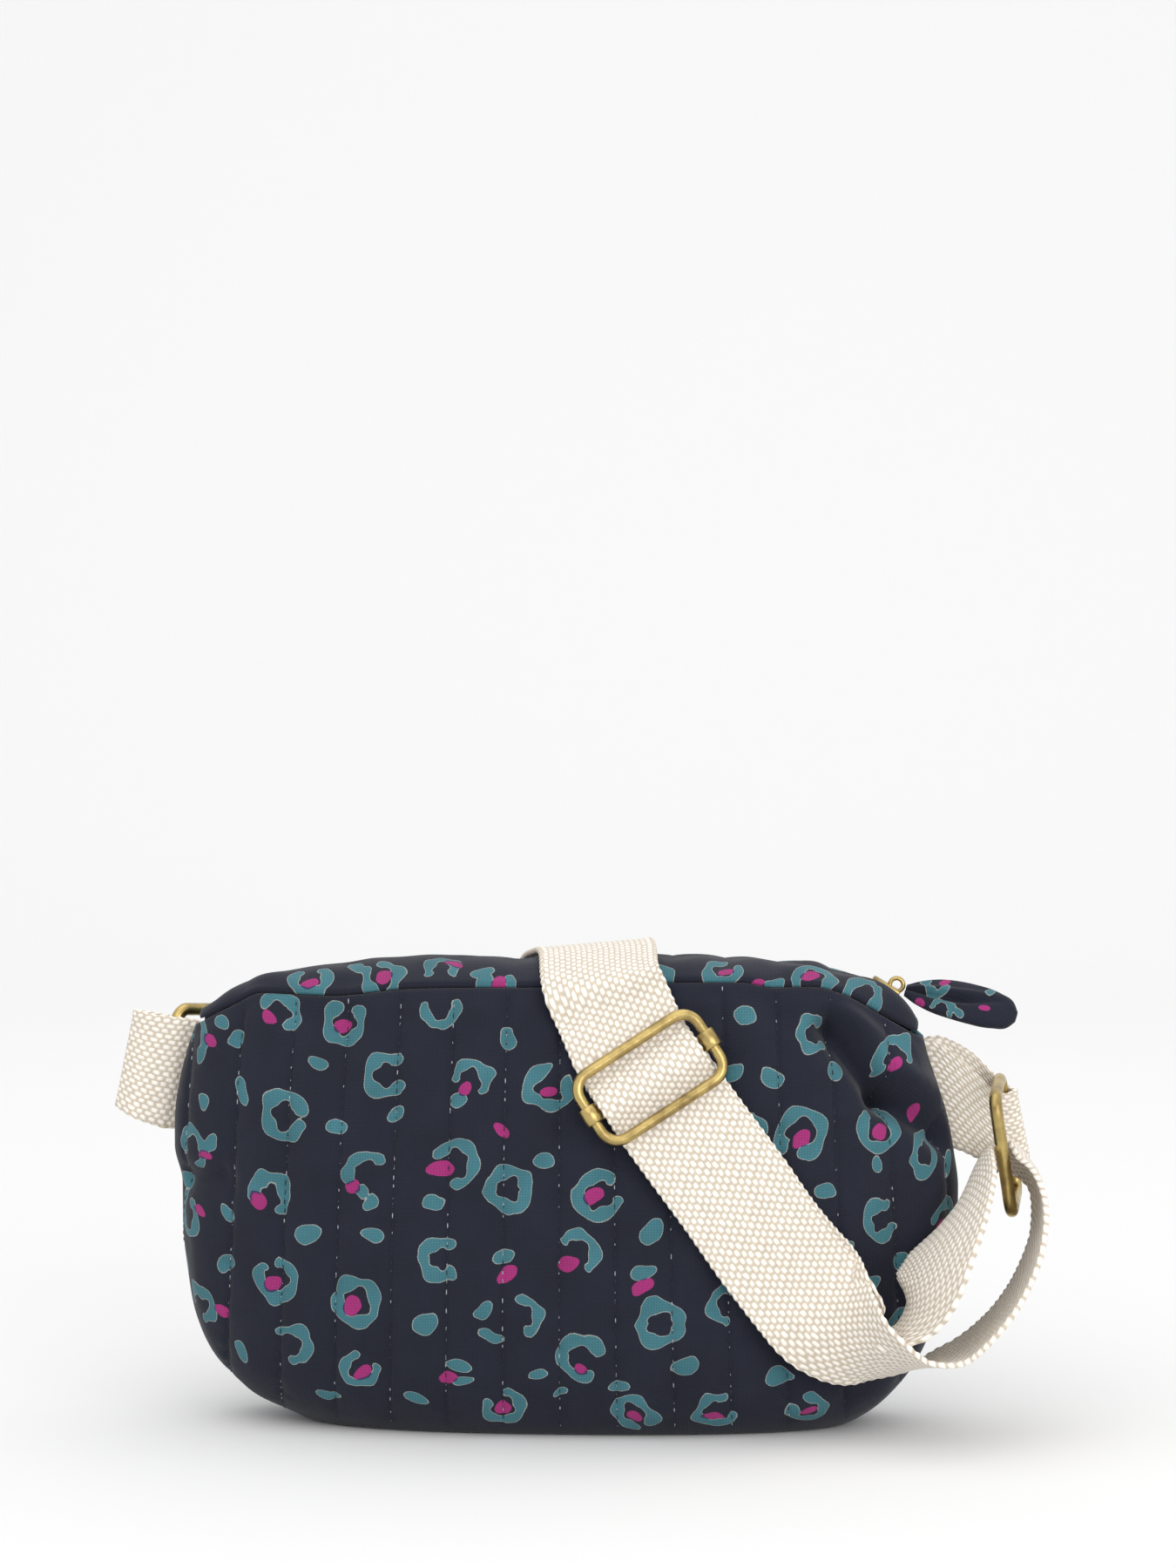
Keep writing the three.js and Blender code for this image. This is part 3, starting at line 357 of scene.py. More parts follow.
CORES = (
    # x, z, long half, short half, turn
    (-95, 135, 3.2, 2, 150), (-71.5, 134.5, 3.4, 2.6, 20), (-30.5, 115, 3.2, 2, 40), (-19, 102, 4, 1.7, 130),
    (-39, 89, 4.4, 2.6, 15), (-67, 82.5, 3.4, 2.6, 60), (-99, 77.5, 3, 3.6, 20), (-17, 54.5, 4.6, 2.4, 35),
    (-94, 49.5, 3.4, 2.8, 30), (-67.5, 44, 3.8, 3.2, 50), (-64, 22, 3, 2.2, 30), (-36, 21.5, 2.8, 2, 20),
    (6, 25, 2.6, 2, 140), (27, 52.5, 4.6, 2.6, 30), (3, 59.5, 4, 2.6, 20), (11.5, 81, 4.2, 2.6, 30),
    (-3, 114, 3.6, 2.2, 20), (-18, 11, 3.4, 2.8, 120), (24, 8, 3.4, 2, 10), (49, 8.5, 4, 1.9, 170),
    (80, 9.5, 4, 2, 15), (107, 121, 3, 2, 30), (78, 98.5, 3.2, 2.8, 150), (103.5, 100.5, 3.2, 2.4, 30),
    (116, 105.5, 3.2, 1.6, 120), (-116, 127, 2.2, 3, 100), (-117, 90, 2, 3, 90), (-119, 71, 2, 3, 90),
    (-112, 39.5, 2.2, 3.2, 80), (58, 67.5, 3.2, 2.4, 40), (111, 35.5, 3, 2.2, 20),
    (123, 68, 3, 2.2, 40),
)
# The same on the front top strip, from the seam up.
STRIP_ARCS = (
    (-83, 148, 5, 2.2, 90, 90), (-59, 150, 5.6, 2.4, 60, 120), (-21, 147, 4.6, 2.2, 120, 90),
    (52, 153, 5, 2.2, 80, 60), (82, 149, 5.4, 2.3, 70, 300), (98, 143, 5.2, 2.4, 40, 40),
    (-40, 154, 4.6, 2.2, 120, 270), (30, 150, 4.8, 2.2, 100, 180),
)
STRIP_OVALS = (
    (-26, 152, 4.2, 2.6, 20), (41, 146, 3.8, 2.4, 10), (-68, 154, 4, 2.6, 150), (68, 147, 4, 2.4, 20),
)
STRIP_CORES = (
    (-83, 146, 3, 2, 20), (-58, 150, 3.6, 2.6, 20), (-21, 147.5, 3.4, 2.6, 30), (-36, 156, 4, 2, 150),
    (53, 152.5, 3, 2, 20), (63, 147, 3.6, 2.2, 30), (81, 150, 3.6, 2, 10), (40, 147, 2.6, 1.8, 20),
)


def linear(code):
    """An sRGB hex colour as linear red, green and blue."""
    parts = [int(code[place:place + 2], 16) / 255 for place in (1, 3, 5)]
    return tuple(part / 12.92 if part <= 0.04045 else ((part + 0.055) / 1.055) ** 2.4 for part in parts)


class ClothSettings(bpy.types.PropertyGroup):
    """The quilted printed cotton of the bag."""

    wall: bpy.props.FloatProperty(
        name="Padded wall", description="Thickness of the quilted cloth", default=0.003, unit="LENGTH"
    )
    channel: bpy.props.FloatProperty(
        name="Channel", description="Distance between two sewn lines", default=0.0174, unit="LENGTH"
    )
    rise: bpy.props.FloatProperty(
        name="Puff",
        description="How far the padding stands off the sewn lines",
        default=0.0013,
        unit="LENGTH",
    )
    stitch: bpy.props.FloatProperty(
        name="Stitch", description="Length from one stitch to the next", default=0.0031, unit="LENGTH"
    )
    ground: bpy.props.FloatVectorProperty(
        name="Ground", description="Colour of the dyed ground", subtype="COLOR", default=linear("#1b1e2c")
    )
    spot: bpy.props.FloatVectorProperty(
        name="Spots", description="Colour of the printed spots", subtype="COLOR", default=linear("#3e6f79")
    )
    core: bpy.props.FloatVectorProperty(
        name="Cores", description="Colour of the printed cores", subtype="COLOR", default=linear("#9a2c6e")
    )
    overprint: bpy.props.FloatVectorProperty(
        name="Overprint",
        description="Colour where a core lies on a spot",
        subtype="COLOR",
        default=linear("#352f52"),
    )
    outline: bpy.props.FloatVectorProperty(
        name="Outline",
        description="Colour of the bare line round each spot",
        subtype="COLOR",
        default=linear("#a4a8a2"),
    )


class WebbingSettings(bpy.types.PropertyGroup):
    """The cotton webbing of the belt and the side loops."""

    width: bpy.props.FloatProperty(
        name="Belt", description="Width of the belt", default=0.0384, unit="LENGTH"
    )
    tab_width: bpy.props.FloatProperty(
        name="Side loop", description="Width of the side loops", default=0.0374, unit="LENGTH"
    )
    thick: bpy.props.FloatProperty(
        name="Thickness", description="Thickness of the webbing", default=0.0018, unit="LENGTH"
    )
    colour: bpy.props.FloatVectorProperty(
        name="Cotton", description="Colour of the undyed cotton", subtype="COLOR", default=linear("#f3ece2")
    )
    # Painted shade: the colour laid into the gaps between the picks, darker where they would lie in shade.
    shade: bpy.props.FloatVectorProperty(
        name="Gaps", description="Colour between the picks", subtype="COLOR", default=linear("#bcae9a")
    )


class BrassSettings(bpy.types.PropertyGroup):
    """The aged brass fittings."""

    ring_inner: bpy.props.FloatProperty(
        name="Ring length", description="Long opening of the rings", default=0.0346, unit="LENGTH"
    )
    ring_depth: bpy.props.FloatProperty(
        name="Ring depth", description="Short opening of the rings", default=0.025, unit="LENGTH"
    )
    ring_wire: bpy.props.FloatProperty(
        name="Ring wire", description="Wire of the rings", default=0.0042, unit="LENGTH"
    )
    slider_inner: bpy.props.FloatProperty(
        name="Slider length", description="Long opening of the strap slider", default=0.0416, unit="LENGTH"
    )
    slider_depth: bpy.props.FloatProperty(
        name="Slider depth", description="Short opening of the strap slider", default=0.0208, unit="LENGTH"
    )
    slider_wire: bpy.props.FloatProperty(
        name="Slider wire", description="Wire of the strap slider", default=0.0036, unit="LENGTH"
    )
    colour: bpy.props.FloatVectorProperty(
        name="Brass", description="Colour of the rubbed metal", subtype="COLOR", default=linear("#bca56a")
    )
    tarnish: bpy.props.FloatVectorProperty(
        name="Tarnish", description="Colour of the darkened metal", subtype="COLOR", default=linear("#6b5839")
    )


class StageSettings(bpy.types.PropertyGroup):
    """The floor, the light and the view."""

    floor: bpy.props.FloatVectorProperty(
        name="Floor", description="Colour of the floor", subtype="COLOR", default=linear("#e5e5e5")
    )
    lens: bpy.props.FloatProperty(
        name="Lens", description="Focal length of the camera in millimetres", default=138
    )
    azimuth: bpy.props.FloatProperty(
        name="Azimuth", description="Turn of the view to the left", default=math.radians(3), subtype="ANGLE"
    )
    pitch: bpy.props.FloatProperty(
        name="Pitch", description="Slope of the view downwards", default=math.radians(3.8), subtype="ANGLE"
    )


def smooth(low, high, value):
    share = np.clip((value - low) / (high - low), 0, 1)
    return share * share * (3 - 2 * share)


def curve_at(places, values, at):
    """A smooth line through a table's values, with no overshoot of its slopes."""
    at = np.clip(at, places[0], places[-1])
    step = np.diff(places)
    slope = np.diff(values) / step
    tangent = np.concatenate(([slope[0]], (slope[:-1] + slope[1:]) / 2, [slope[-1]]))
    flat = np.concatenate(([False], slope[:-1] * slope[1:] <= 0, [False]))
    tangent[flat] = 0
    index = np.clip(np.searchsorted(places, at, side="right") - 1, 0, len(step) - 1)
    gap = step[index]
    t = (at - places[index]) / gap
    a = (2 * t**3 - 3 * t**2 + 1) * values[index]
    b = (t**3 - 2 * t**2 + t) * gap * tangent[index]
    c = (3 * t**2 - 2 * t**3) * values[index + 1]
    d = (t**3 - t**2) * gap * tangent[index + 1]
    return a + b + c + d


def level_at(share, name):
    count = len(LEVELS["height"])
    return curve_at(np.arange(count, dtype=float), LEVELS[name], share * (count - 1))


def ripple(a, b, size, seed):
    """Soft seeded bumps from -1 to 1 over two running lengths."""
    x, y = a / size, b / size
    column, row = np.floor(x).astype(np.int64), np.floor(y).astype(np.int64)
    fx, fy = smooth(0, 1, x - column), smooth(0, 1, y - row)

    def corner(i, j):
        mixed = ((column + i) * 374761393 + (row + j) * 668265263 + seed * 974634777) & 0xFFFFFFFF
        mixed = ((mixed ^ (mixed >> 13)) * 1274126177) & 0xFFFFFFFF
        return ((mixed ^ (mixed >> 16)) & 0xFFFF) / 32767.5 - 1

    low = corner(0, 0) * (1 - fx) + corner(1, 0) * fx
    high = corner(0, 1) * (1 - fx) + corner(1, 1) * fx
    return low * (1 - fy) + high * fy


def round_across(u):
    return np.maximum(0, 1 - np.abs(u) ** SIDE_ROUND) ** (1 / SIDE_ROUND)


def panel_points(u, share, facing):
    """Points of a panel before quilting. u runs from the left side seam (-1) to the right one (1)."""
    height = level_at(share, "height")
    x = u * np.where(u < 0, -level_at(share, "left"), level_at(share, "right"))
    seam = curve_at(TOP_SEAM["x"], TOP_SEAM["z"], x)
    if facing > 0:
        seam = seam - BACK_SHOULDER_DROP * smooth(72, 104, -x)
    drop = (seam / TOP_HEIGHT - 1) * smooth(60, TOP_HEIGHT, height)
    slot = HALF_GAP + (level_at(share, "slot") - HALF_GAP) * np.abs(u) ** 12
    depth = level_at(share, "front" if facing < 0 else "back") * round_across(u) + slot
    return np.stack((x, facing * depth, height * (1 + drop)), axis=-1)


def grid_normals(points):
    """Unit normals of a grid whose columns run across and rows run up, seen from outside."""
    across = np.gradient(points, axis=1)
    up = np.gradient(points, axis=0)
    normal = np.cross(across, up)
    return normal / np.maximum(np.linalg.norm(normal, axis=-1, keepdims=True), 1e-9)


def running_length(points):
    steps = np.linalg.norm(np.diff(points, axis=0), axis=-1)
    return np.concatenate(([0], np.cumsum(steps)))


def along_line(run, line, at):
    """What a line of points holds at running lengths along it."""
    return np.stack([np.interp(at, run, line[:, axis]) for axis in range(3)], axis=-1)


def even_shares(points, shares, count):
    """Shares along a dense line that lie at equal distances on it."""
    length = running_length(points)
    return np.interp(np.linspace(0, length[-1], count), length, shares)


def front_at(x, z, lift, rise):
    """A point on the front, lifted off the cloth along its normal."""
    low, high = BASE_LEVELS / (len(LEVELS["height"]) - 1), 1.0
    for _ in range(HALVINGS):
        middle = (low + high) / 2
        reach = -level_at(middle, "left") if x < 0 else level_at(middle, "right")
        u = np.array(x / reach)
        if panel_points(u, np.array(middle), -1)[2] < z:
            low = middle
        else:
            high = middle
    step = 0.004
    here = panel_points(u, np.array(low), -1)
    up = panel_points(u, np.array(min(1, low + step)), -1) - panel_points(u, np.array(low - step), -1)
    across = panel_points(u + step, np.array(low), -1) - panel_points(u - step, np.array(low), -1)
    normal = np.cross(across, up)
    normal /= np.linalg.norm(normal)
    return here + normal * (lift + rise), normal


def add_node(tree, kind, settings=None, links=None):
    """Adds a shader node, sets its values and sockets, and links its inputs."""
    node = tree.nodes.new(kind)
    for name, value in (settings or {}).items():
        if isinstance(name, str) and hasattr(node, name):
            setattr(node, name, value)
        else:
            node.inputs[name].default_value = value
    for name, socket in (links or {}).items():
        tree.links.new(socket, node.inputs[name])
    return node


def new_material(name, sockets):
    """A material with values on its shader's own sockets, where they are the same all over."""
    material = bpy.data.materials.new(name)
    material.use_nodes = True
    tree = material.node_tree
    shader = tree.nodes["Principled BSDF"]
    for socket, value in sockets.items():
        shader.inputs[socket].default_value = value
    return material, tree, shader


def rgba(colour):
    return (*colour, 1.0)


def printed_cotton(settings):
    """Printed plain-woven cotton: matt, with soft crisp-edged pigment and a faint thread texture."""
    material, tree, shader = new_material(
        "printed_cotton_poplin",
        {"Roughness": 0.88, "Specular IOR Level": 0.25, "Sheen Weight": 0.12, "Sheen Roughness": 0.45},
    )
    place = add_node(tree, "ShaderNodeUVMap", {"uv_map": "cloth"}).outputs["UV"]
    spot = add_node(tree, "ShaderNodeAttribute", {"attribute_name": "spot"}).outputs["Fac"]
    core = add_node(tree, "ShaderNodeAttribute", {"attribute_name": "core"}).outputs["Fac"]
    # The print's edge wanders by 0.15 mm each way, as pigment does on threads. A noise's scale counts its
    # grains to the metre in all these materials, so 900 gives grains of about 1.1 mm.
    fray = add_node(tree, NOISE, {"Scale": 900.0, "Detail": 2.0}, {"Vector": place}).outputs["Fac"]
    wander = add_node(tree, MATH, {"operation": "MULTIPLY_ADD", 1: 0.3, 2: -0.15}, {0: fray}).outputs[0]
    spot = add_node(tree, MATH, {"operation": "ADD"}, {0: spot, 1: wander}).outputs[0]
    core = add_node(tree, MATH, {"operation": "ADD"}, {0: core, 1: wander}).outputs[0]
    inside = {"interpolation_type": "SMOOTHSTEP", 1: -0.12, 2: 0.12, 3: 1.0, 4: 0.0}
    in_spot = add_node(tree, RANGE, inside, {0: spot}).outputs[0]
    in_core = add_node(tree, RANGE, inside, {0: core}).outputs[0]
    # Where a core lies on a spot, its rim dries darker.
    rim = {"interpolation_type": "SMOOTHSTEP", 1: -1.0, 2: -0.3, 3: 0.0, 4: 1.0}
    on_rim = add_node(tree, RANGE, rim, {0: core}).outputs[0]
    mixed_rim = add_node(tree, MATH, {"operation": "MULTIPLY"}, {0: on_rim, 1: in_spot}).outputs[0]
    away = add_node(tree, MATH, {"operation": "ABSOLUTE"}, {0: spot}).outputs[0]
    edge = {"interpolation_type": "SMOOTHSTEP", 1: 0.05, 2: 0.18, 3: 0.75, 4: 0.0}
    on_edge = add_node(tree, RANGE, edge, {0: away}).outputs[0]
    off_core = add_node(tree, MATH, {"operation": "SUBTRACT", 0: 1.0}, {1: in_core}).outputs[0]
    on_edge = add_node(tree, MATH, {"operation": "MULTIPLY"}, {0: on_edge, 1: off_core}).outputs[0]
    # Threads at 0.45 mm would vanish here, so they are drawn at 0.9 mm. A wave turns by 20 radians in a unit.
    thread = 2 * math.pi / 0.0009 / 20
    warp, weft = (
        add_node(
            tree,
            "ShaderNodeTexWave",
            {"bands_direction": way, "Scale": thread, "Distortion": 2.0, "Detail": 2.0, "Detail Scale": 3.0},
            {"Vector": place},
        ).outputs["Fac"]
        for way in ("X", "Y")
    )
    weave = add_node(tree, MATH, {"operation": "MULTIPLY"}, {0: warp, 1: weft}).outputs[0]
    slub = add_node(tree, NOISE, {"Scale": 60.0, "Detail": 4.0}, {"Vector": place}).outputs["Fac"]
    worn = add_node(tree, RANGE, {1: 0.3, 2: 0.75, 3: 0.86, 4: 1.16}, {0: slub}).outputs[0]
    mixed = add_node(
        tree,
        MIX,
        {"data_type": "RGBA", 6: rgba(settings.ground), 7: rgba(settings.spot)},
        {0: in_spot},
    ).outputs[2]
    on_core = add_node(
        tree,
        MIX,
        {"data_type": "RGBA", 6: rgba(settings.core), 7: rgba(settings.overprint)},
        {0: mixed_rim},
    ).outputs[2]
    mixed = add_node(tree, MIX, {"data_type": "RGBA"}, {0: in_core, 6: mixed, 7: on_core}).outputs[2]
    mixed = add_node(
        tree, MIX, {"data_type": "RGBA", 7: rgba(settings.outline)}, {0: on_edge, 6: mixed}
    ).outputs[2]
    threads = add_node(tree, RANGE, {1: 0.0, 2: 1.0, 3: 0.82, 4: 1.12}, {0: weave}).outputs[0]
    tone = add_node(tree, MATH, {"operation": "MULTIPLY"}, {0: worn, 1: threads}).outputs[0]
    toned = add_node(tree, VECTOR_MATH, {"operation": "SCALE"}, {0: mixed, "Scale": tone}).outputs[0]
    tree.links.new(toned, shader.inputs["Base Color"])
    bump = add_node(tree, "ShaderNodeBump", {"Strength": 0.35, "Distance": 0.00025}, {"Height": weave})
    tree.links.new(bump.outputs["Normal"], shader.inputs["Normal"])
    return material


def cotton_webbing(settings):
    """Undyed heavy cotton webbing: rows of plump picks with painted shade in the gaps, matt and slightly
    fuzzy.
    """
    material, tree, shader = new_material(
        "undyed_cotton_webbing",
        {"Roughness": 0.92, "Specular IOR Level": 0.2, "Sheen Weight": 0.25, "Sheen Roughness": 0.5},
    )
    # Picks in rows along the webbing, drawn coarse enough to show.
    per_metre = {"X": 1 / (PICK * MM), "Y": 1 / (PICK_ROW * MM)}
    place = add_node(tree, "ShaderNodeUVMap", {"uv_map": "webbing"}).outputs["UV"]
    uneven = add_node(tree, NOISE, {"Scale": 260.0, "Detail": 3.0}, {"Vector": place}).outputs["Fac"]
    axes = add_node(tree, "ShaderNodeSeparateXYZ", links={0: place}).outputs
    slack = add_node(tree, MATH, {"operation": "MULTIPLY_ADD", 1: 0.5, 2: -0.25}, {0: uneven}).outputs[0]
    count_rows = {"operation": "MULTIPLY_ADD", 1: per_metre["Y"]}
    rows = add_node(tree, MATH, count_rows, {0: axes["Y"], 2: slack}).outputs[0]
    row = add_node(tree, MATH, {"operation": "FLOOR"}, {0: rows}).outputs[0]
    within = add_node(tree, MATH, {"operation": "FRACT"}, {0: rows}).outputs[0]
    arch = add_node(tree, MATH, {"operation": "MULTIPLY", 1: math.pi}, {0: within}).outputs[0]
    across = add_node(tree, MATH, {"operation": "SINE"}, {0: arch}).outputs[0]
    stagger = add_node(tree, MATH, {"operation": "MULTIPLY_ADD", 1: 0.5}, {0: row, 2: slack}).outputs[0]
    count_picks = {"operation": "MULTIPLY_ADD", 1: per_metre["X"]}
    turns = add_node(tree, MATH, count_picks, {0: axes["X"], 2: stagger}).outputs[0]
    angle = add_node(tree, MATH, {"operation": "MULTIPLY", 1: 2 * math.pi}, {0: turns}).outputs[0]
    wave = add_node(tree, MATH, {"operation": "COSINE"}, {0: angle}).outputs[0]
    along = add_node(tree, RANGE, {1: -1.0, 2: 0.5, 3: 0.0, 4: 1.0}, {0: wave}).outputs[0]
    grain = add_node(tree, MATH, {"operation": "MULTIPLY"}, {0: across, 1: along}).outputs[0]
    fluff = add_node(tree, NOISE, {"Scale": 1500.0, "Detail": 3.0}, {"Vector": place}).outputs["Fac"]
    height = add_node(tree, MATH, {"operation": "MULTIPLY_ADD", 1: 0.2}, {0: fluff, 2: grain}).outputs[0]
    # Painted shade: the gaps between the picks are mixed towards the shade colour.
    gaps = add_node(tree, RANGE, {1: 0.05, 2: 0.6, 3: 0.85, 4: 0.0}, {0: grain}).outputs[0]
    mixed = add_node(
        tree,
        MIX,
        {"data_type": "RGBA", 6: rgba(settings.colour), 7: rgba(settings.shade)},
        {0: gaps},
    ).outputs[2]
    tone = add_node(tree, RANGE, {1: 0.3, 2: 0.7, 3: 0.93, 4: 1.05}, {0: uneven}).outputs[0]
    toned = add_node(tree, VECTOR_MATH, {"operation": "SCALE"}, {0: mixed, "Scale": tone}).outputs[0]
    tree.links.new(toned, shader.inputs["Base Color"])
    bump = add_node(tree, "ShaderNodeBump", {"Strength": 0.7, "Distance": 0.0005}, {"Height": height})
    tree.links.new(bump.outputs["Normal"], shader.inputs["Normal"])
    return material


def aged_brass(settings):
    """Aged brass wire: rubbed bright, with a fine uneven grain, and darkened in patches."""
    material, tree, shader = new_material("aged_brushed_brass", {"Metallic": 1.0})
    place = add_node(tree, "ShaderNodeTexCoord").outputs["Object"]
    patches = add_node(tree, NOISE, {"Scale": 160.0, "Detail": 5.0}, {"Vector": place}).outputs["Fac"]
    specks = add_node(tree, NOISE, {"Scale": 900.0, "Detail": 3.0}, {"Vector": place}).outputs["Fac"]
    dark = add_node(tree, RANGE, {1: 0.44, 2: 0.7, 3: 0.0, 4: 0.75}, {0: patches}).outputs[0]
    mixed = add_node(
        tree,
        MIX,
        {"data_type": "RGBA", 6: rgba(settings.colour), 7: rgba(settings.tarnish)},
        {0: dark},
    ).outputs[2]
    tree.links.new(mixed, shader.inputs["Base Color"])
    rough = add_node(tree, RANGE, {1: 0.3, 2: 0.75, 3: 0.22, 4: 0.4}, {0: patches}).outputs[0]
    tree.links.new(rough, shader.inputs["Roughness"])
    bump = add_node(tree, "ShaderNodeBump", {"Strength": 0.18, "Distance": 0.0003}, {"Height": specks})
    tree.links.new(bump.outputs["Normal"], shader.inputs["Normal"])
    return material


def spun_thread(name, colour):
    """Spun sewing thread: matt, with a fine twist, and pale in small random specks."""
    material, tree, shader = new_material(name, {"Roughness": 0.8})
    place = add_node(tree, "ShaderNodeTexCoord").outputs["Object"]
    twist = add_node(tree, NOISE, {"Scale": 2500.0, "Detail": 2.0}, {"Vector": place}).outputs["Fac"]
    specks = add_node(tree, NOISE, {"Scale": 420.0, "Detail": 1.0}, {"Vector": place}).outputs["Fac"]
    tone = add_node(tree, RANGE, {1: 0.3, 2: 0.7, 3: 0.6, 4: 1.4}, {0: twist}).outputs[0]
    toned = add_node(tree, VECTOR_MATH, {"operation": "SCALE", 0: colour}, {"Scale": tone}).outputs[0]
    bare = add_node(tree, RANGE, {1: 0.56, 2: 0.62, 3: 0.0, 4: 0.8}, {0: specks}).outputs[0]
    mixed = add_node(
        tree, MIX, {"data_type": "RGBA", 7: rgba(linear("#b4b8bf"))}, {0: bare, 6: toned}
    ).outputs[2]
    tree.links.new(mixed, shader.inputs["Base Color"])
    return material


def moulded_nylon(name, code, roughness):
    """Dark nylon, as the coil and the woven tape of a zip: smooth, with a low dull shine."""
    material, tree, shader = new_material(name, {"Roughness": roughness})
    place = add_node(tree, "ShaderNodeTexCoord").outputs["Object"]
    grain = add_node(tree, NOISE, {"Scale": 1200.0, "Detail": 2.0}, {"Vector": place}).outputs["Fac"]
    tone = add_node(tree, RANGE, {1: 0.3, 2: 0.7, 3: 0.75, 4: 1.25}, {0: grain}).outputs[0]
    toned = add_node(
        tree, VECTOR_MATH, {"operation": "SCALE", 0: linear(code)}, {"Scale": tone}
    ).outputs[0]
    tree.links.new(toned, shader.inputs["Base Color"])
    bump = add_node(tree, "ShaderNodeBump", {"Strength": 0.3, "Distance": 0.0002}, {"Height": grain})
    tree.links.new(bump.outputs["Normal"], shader.inputs["Normal"])
    return material


def named_material(name, make, *values):
    return bpy.data.materials.get(name) or make(*values)


def finish_piece(name, mesh, material, nodes=()):
    """Puts a finished mesh in the scene, riding with the bag."""
    piece = bpy.data.objects.new(name, mesh)
    bpy.context.scene.collection.objects.link(piece)
    mesh.materials.append(material)
    mesh.polygons.foreach_set("use_smooth", [True] * len(mesh.polygons))
    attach(piece, BODY)
    if nodes:
        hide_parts(*nodes)
    return piece


def made_mesh(name, bm):
    """A new mesh from a finished bmesh."""
    mesh = bpy.data.meshes.new(name)
    bm.to_mesh(mesh)
    bm.free()
    return mesh


def give_wall(piece, label, thickness):
    """Gives a piece of cloth its thickness, inwards from its outer face."""
    wall = piece.modifiers.new(label, "SOLIDIFY")
    wall.thickness = thickness
    wall.offset = -1


def outward(facing):
    """The order of a grid's columns that turns its faces outwards."""
    return slice(None) if facing < 0 else slice(None, None, -1)


def close_tube(mesh, apart):
    """Joins the two long edges of a rolled grid and caps its ends."""
    bm = bmesh.new()
    bm.from_mesh(mesh)
    bmesh.ops.remove_doubles(bm, verts=bm.verts, dist=apart)
    bmesh.ops.holes_fill(bm, edges=[edge for edge in bm.edges if edge.is_boundary], sides=0)
    bmesh.ops.recalc_face_normals(bm, faces=bm.faces)
    bm.to_mesh(mesh)
    bm.free()
    mesh.update()


def cloth_mesh(name, points, uv, uv_name="cloth"):
    """A mesh over a grid of points in millimetres, given by rows, with lengths along the cloth as UV map."""
    rows, count = points.shape[:2]
    bm = bmesh.new()
    bmesh.ops.create_grid(bm, x_segments=count - 1, y_segments=rows - 1, size=1)
    mesh = made_mesh(name, bm)
    flat = np.zeros(len(mesh.vertices) * 3)
    mesh.vertices.foreach_get("co", flat)
    flat = flat.reshape(-1, 3)
    column = np.rint((flat[:, 0] + 1) / 2 * (count - 1)).astype(int)
    row = np.rint((flat[:, 1] + 1) / 2 * (rows - 1)).astype(int)
    mesh.vertices.foreach_set("co", (points[row, column] * MM).ravel())
    layer = mesh.uv_layers.new(name=uv_name)
    corner = np.zeros(len(mesh.loops), int)
    mesh.loops.foreach_get("vertex_index", corner)
    layer.data.foreach_set("uv", (uv[row[corner], column[corner]] * MM).ravel())
    mesh.update()
    return mesh, row, column


def arc_distance(s, t, spots, warp):
    """How far each point lies outside the nearest arc, in millimetres. Inside it is below nothing."""
    nearest = np.full(s.shape, FAR_AWAY)
    for x, z, radius, half, gap, turn in spots:
        a, b = s - x + warp[0], t - z + warp[1]
        angle = np.arctan2(b, a) - math.radians(turn)
        angle = np.abs((angle + math.pi) % (2 * math.pi) - math.pi)
        reach = np.hypot(a, b)
        drawn = half * ARC_WEIGHT
        ring = np.abs(reach - radius) - drawn * (1 + 0.3 * np.sin(angle * 4 + turn))
        limit = math.radians(gap) / 2
        ends = np.hypot(reach * np.cos(angle - limit) - radius, reach * np.sin(angle - limit)) - drawn
        nearest = np.minimum(nearest, np.where(angle >= limit, ring, ends))
    return nearest


def oval_distance(s, t, spots, warp):
    """How far each point lies outside the nearest oval, in millimetres. Inside it is below nothing."""
    nearest = np.full(s.shape, FAR_AWAY)
    for x, z, long, short, turn in spots:
        a, b = s - x + warp[0], t - z + warp[1]
        c, d = math.cos(math.radians(turn)), math.sin(math.radians(turn))
        along, across = a * c + b * d, b * c - a * d
        share = np.hypot(along / long, across / short)
        nearest = np.minimum(nearest, (share - OVAL_WEIGHT) * (long + short) / 2)
    return nearest


def print_cloth(mesh, row, column, s, t, arcs, ovals, cores):
    """Gives the cloth the distances to its printed spots, from which its colours come."""
    wander = [1.1 * ripple(s, t, 7, seed) + 0.5 * ripple(s, t, 3.1, seed + 1) for seed in (3, 5)]
    spot = np.minimum(arc_distance(s, t, arcs, wander), oval_distance(s, t, ovals, wander))
    core = oval_distance(s, t, cores, wander)
    for name, values in (("spot", spot), ("core", core)):
        layer = mesh.attributes.new(name, "FLOAT", "POINT")
        layer.data.foreach_set("value", values[row, column])


def trim_base(mesh):
    """Cuts off the slivers of cloth that turn over at the ends of the seam under the bag."""
    bm = bmesh.new()
    bm.from_mesh(mesh)
    bm.normal_update()
    low = [face for face in bm.faces if face.calc_center_median().z < BASE_SKIN * MM]
    turned = [face for face in low if face.normal.z > 0]
    bmesh.ops.delete(bm, geom=turned, context="FACES")
    bm.to_mesh(mesh)
    bm.free()
    mesh.update()


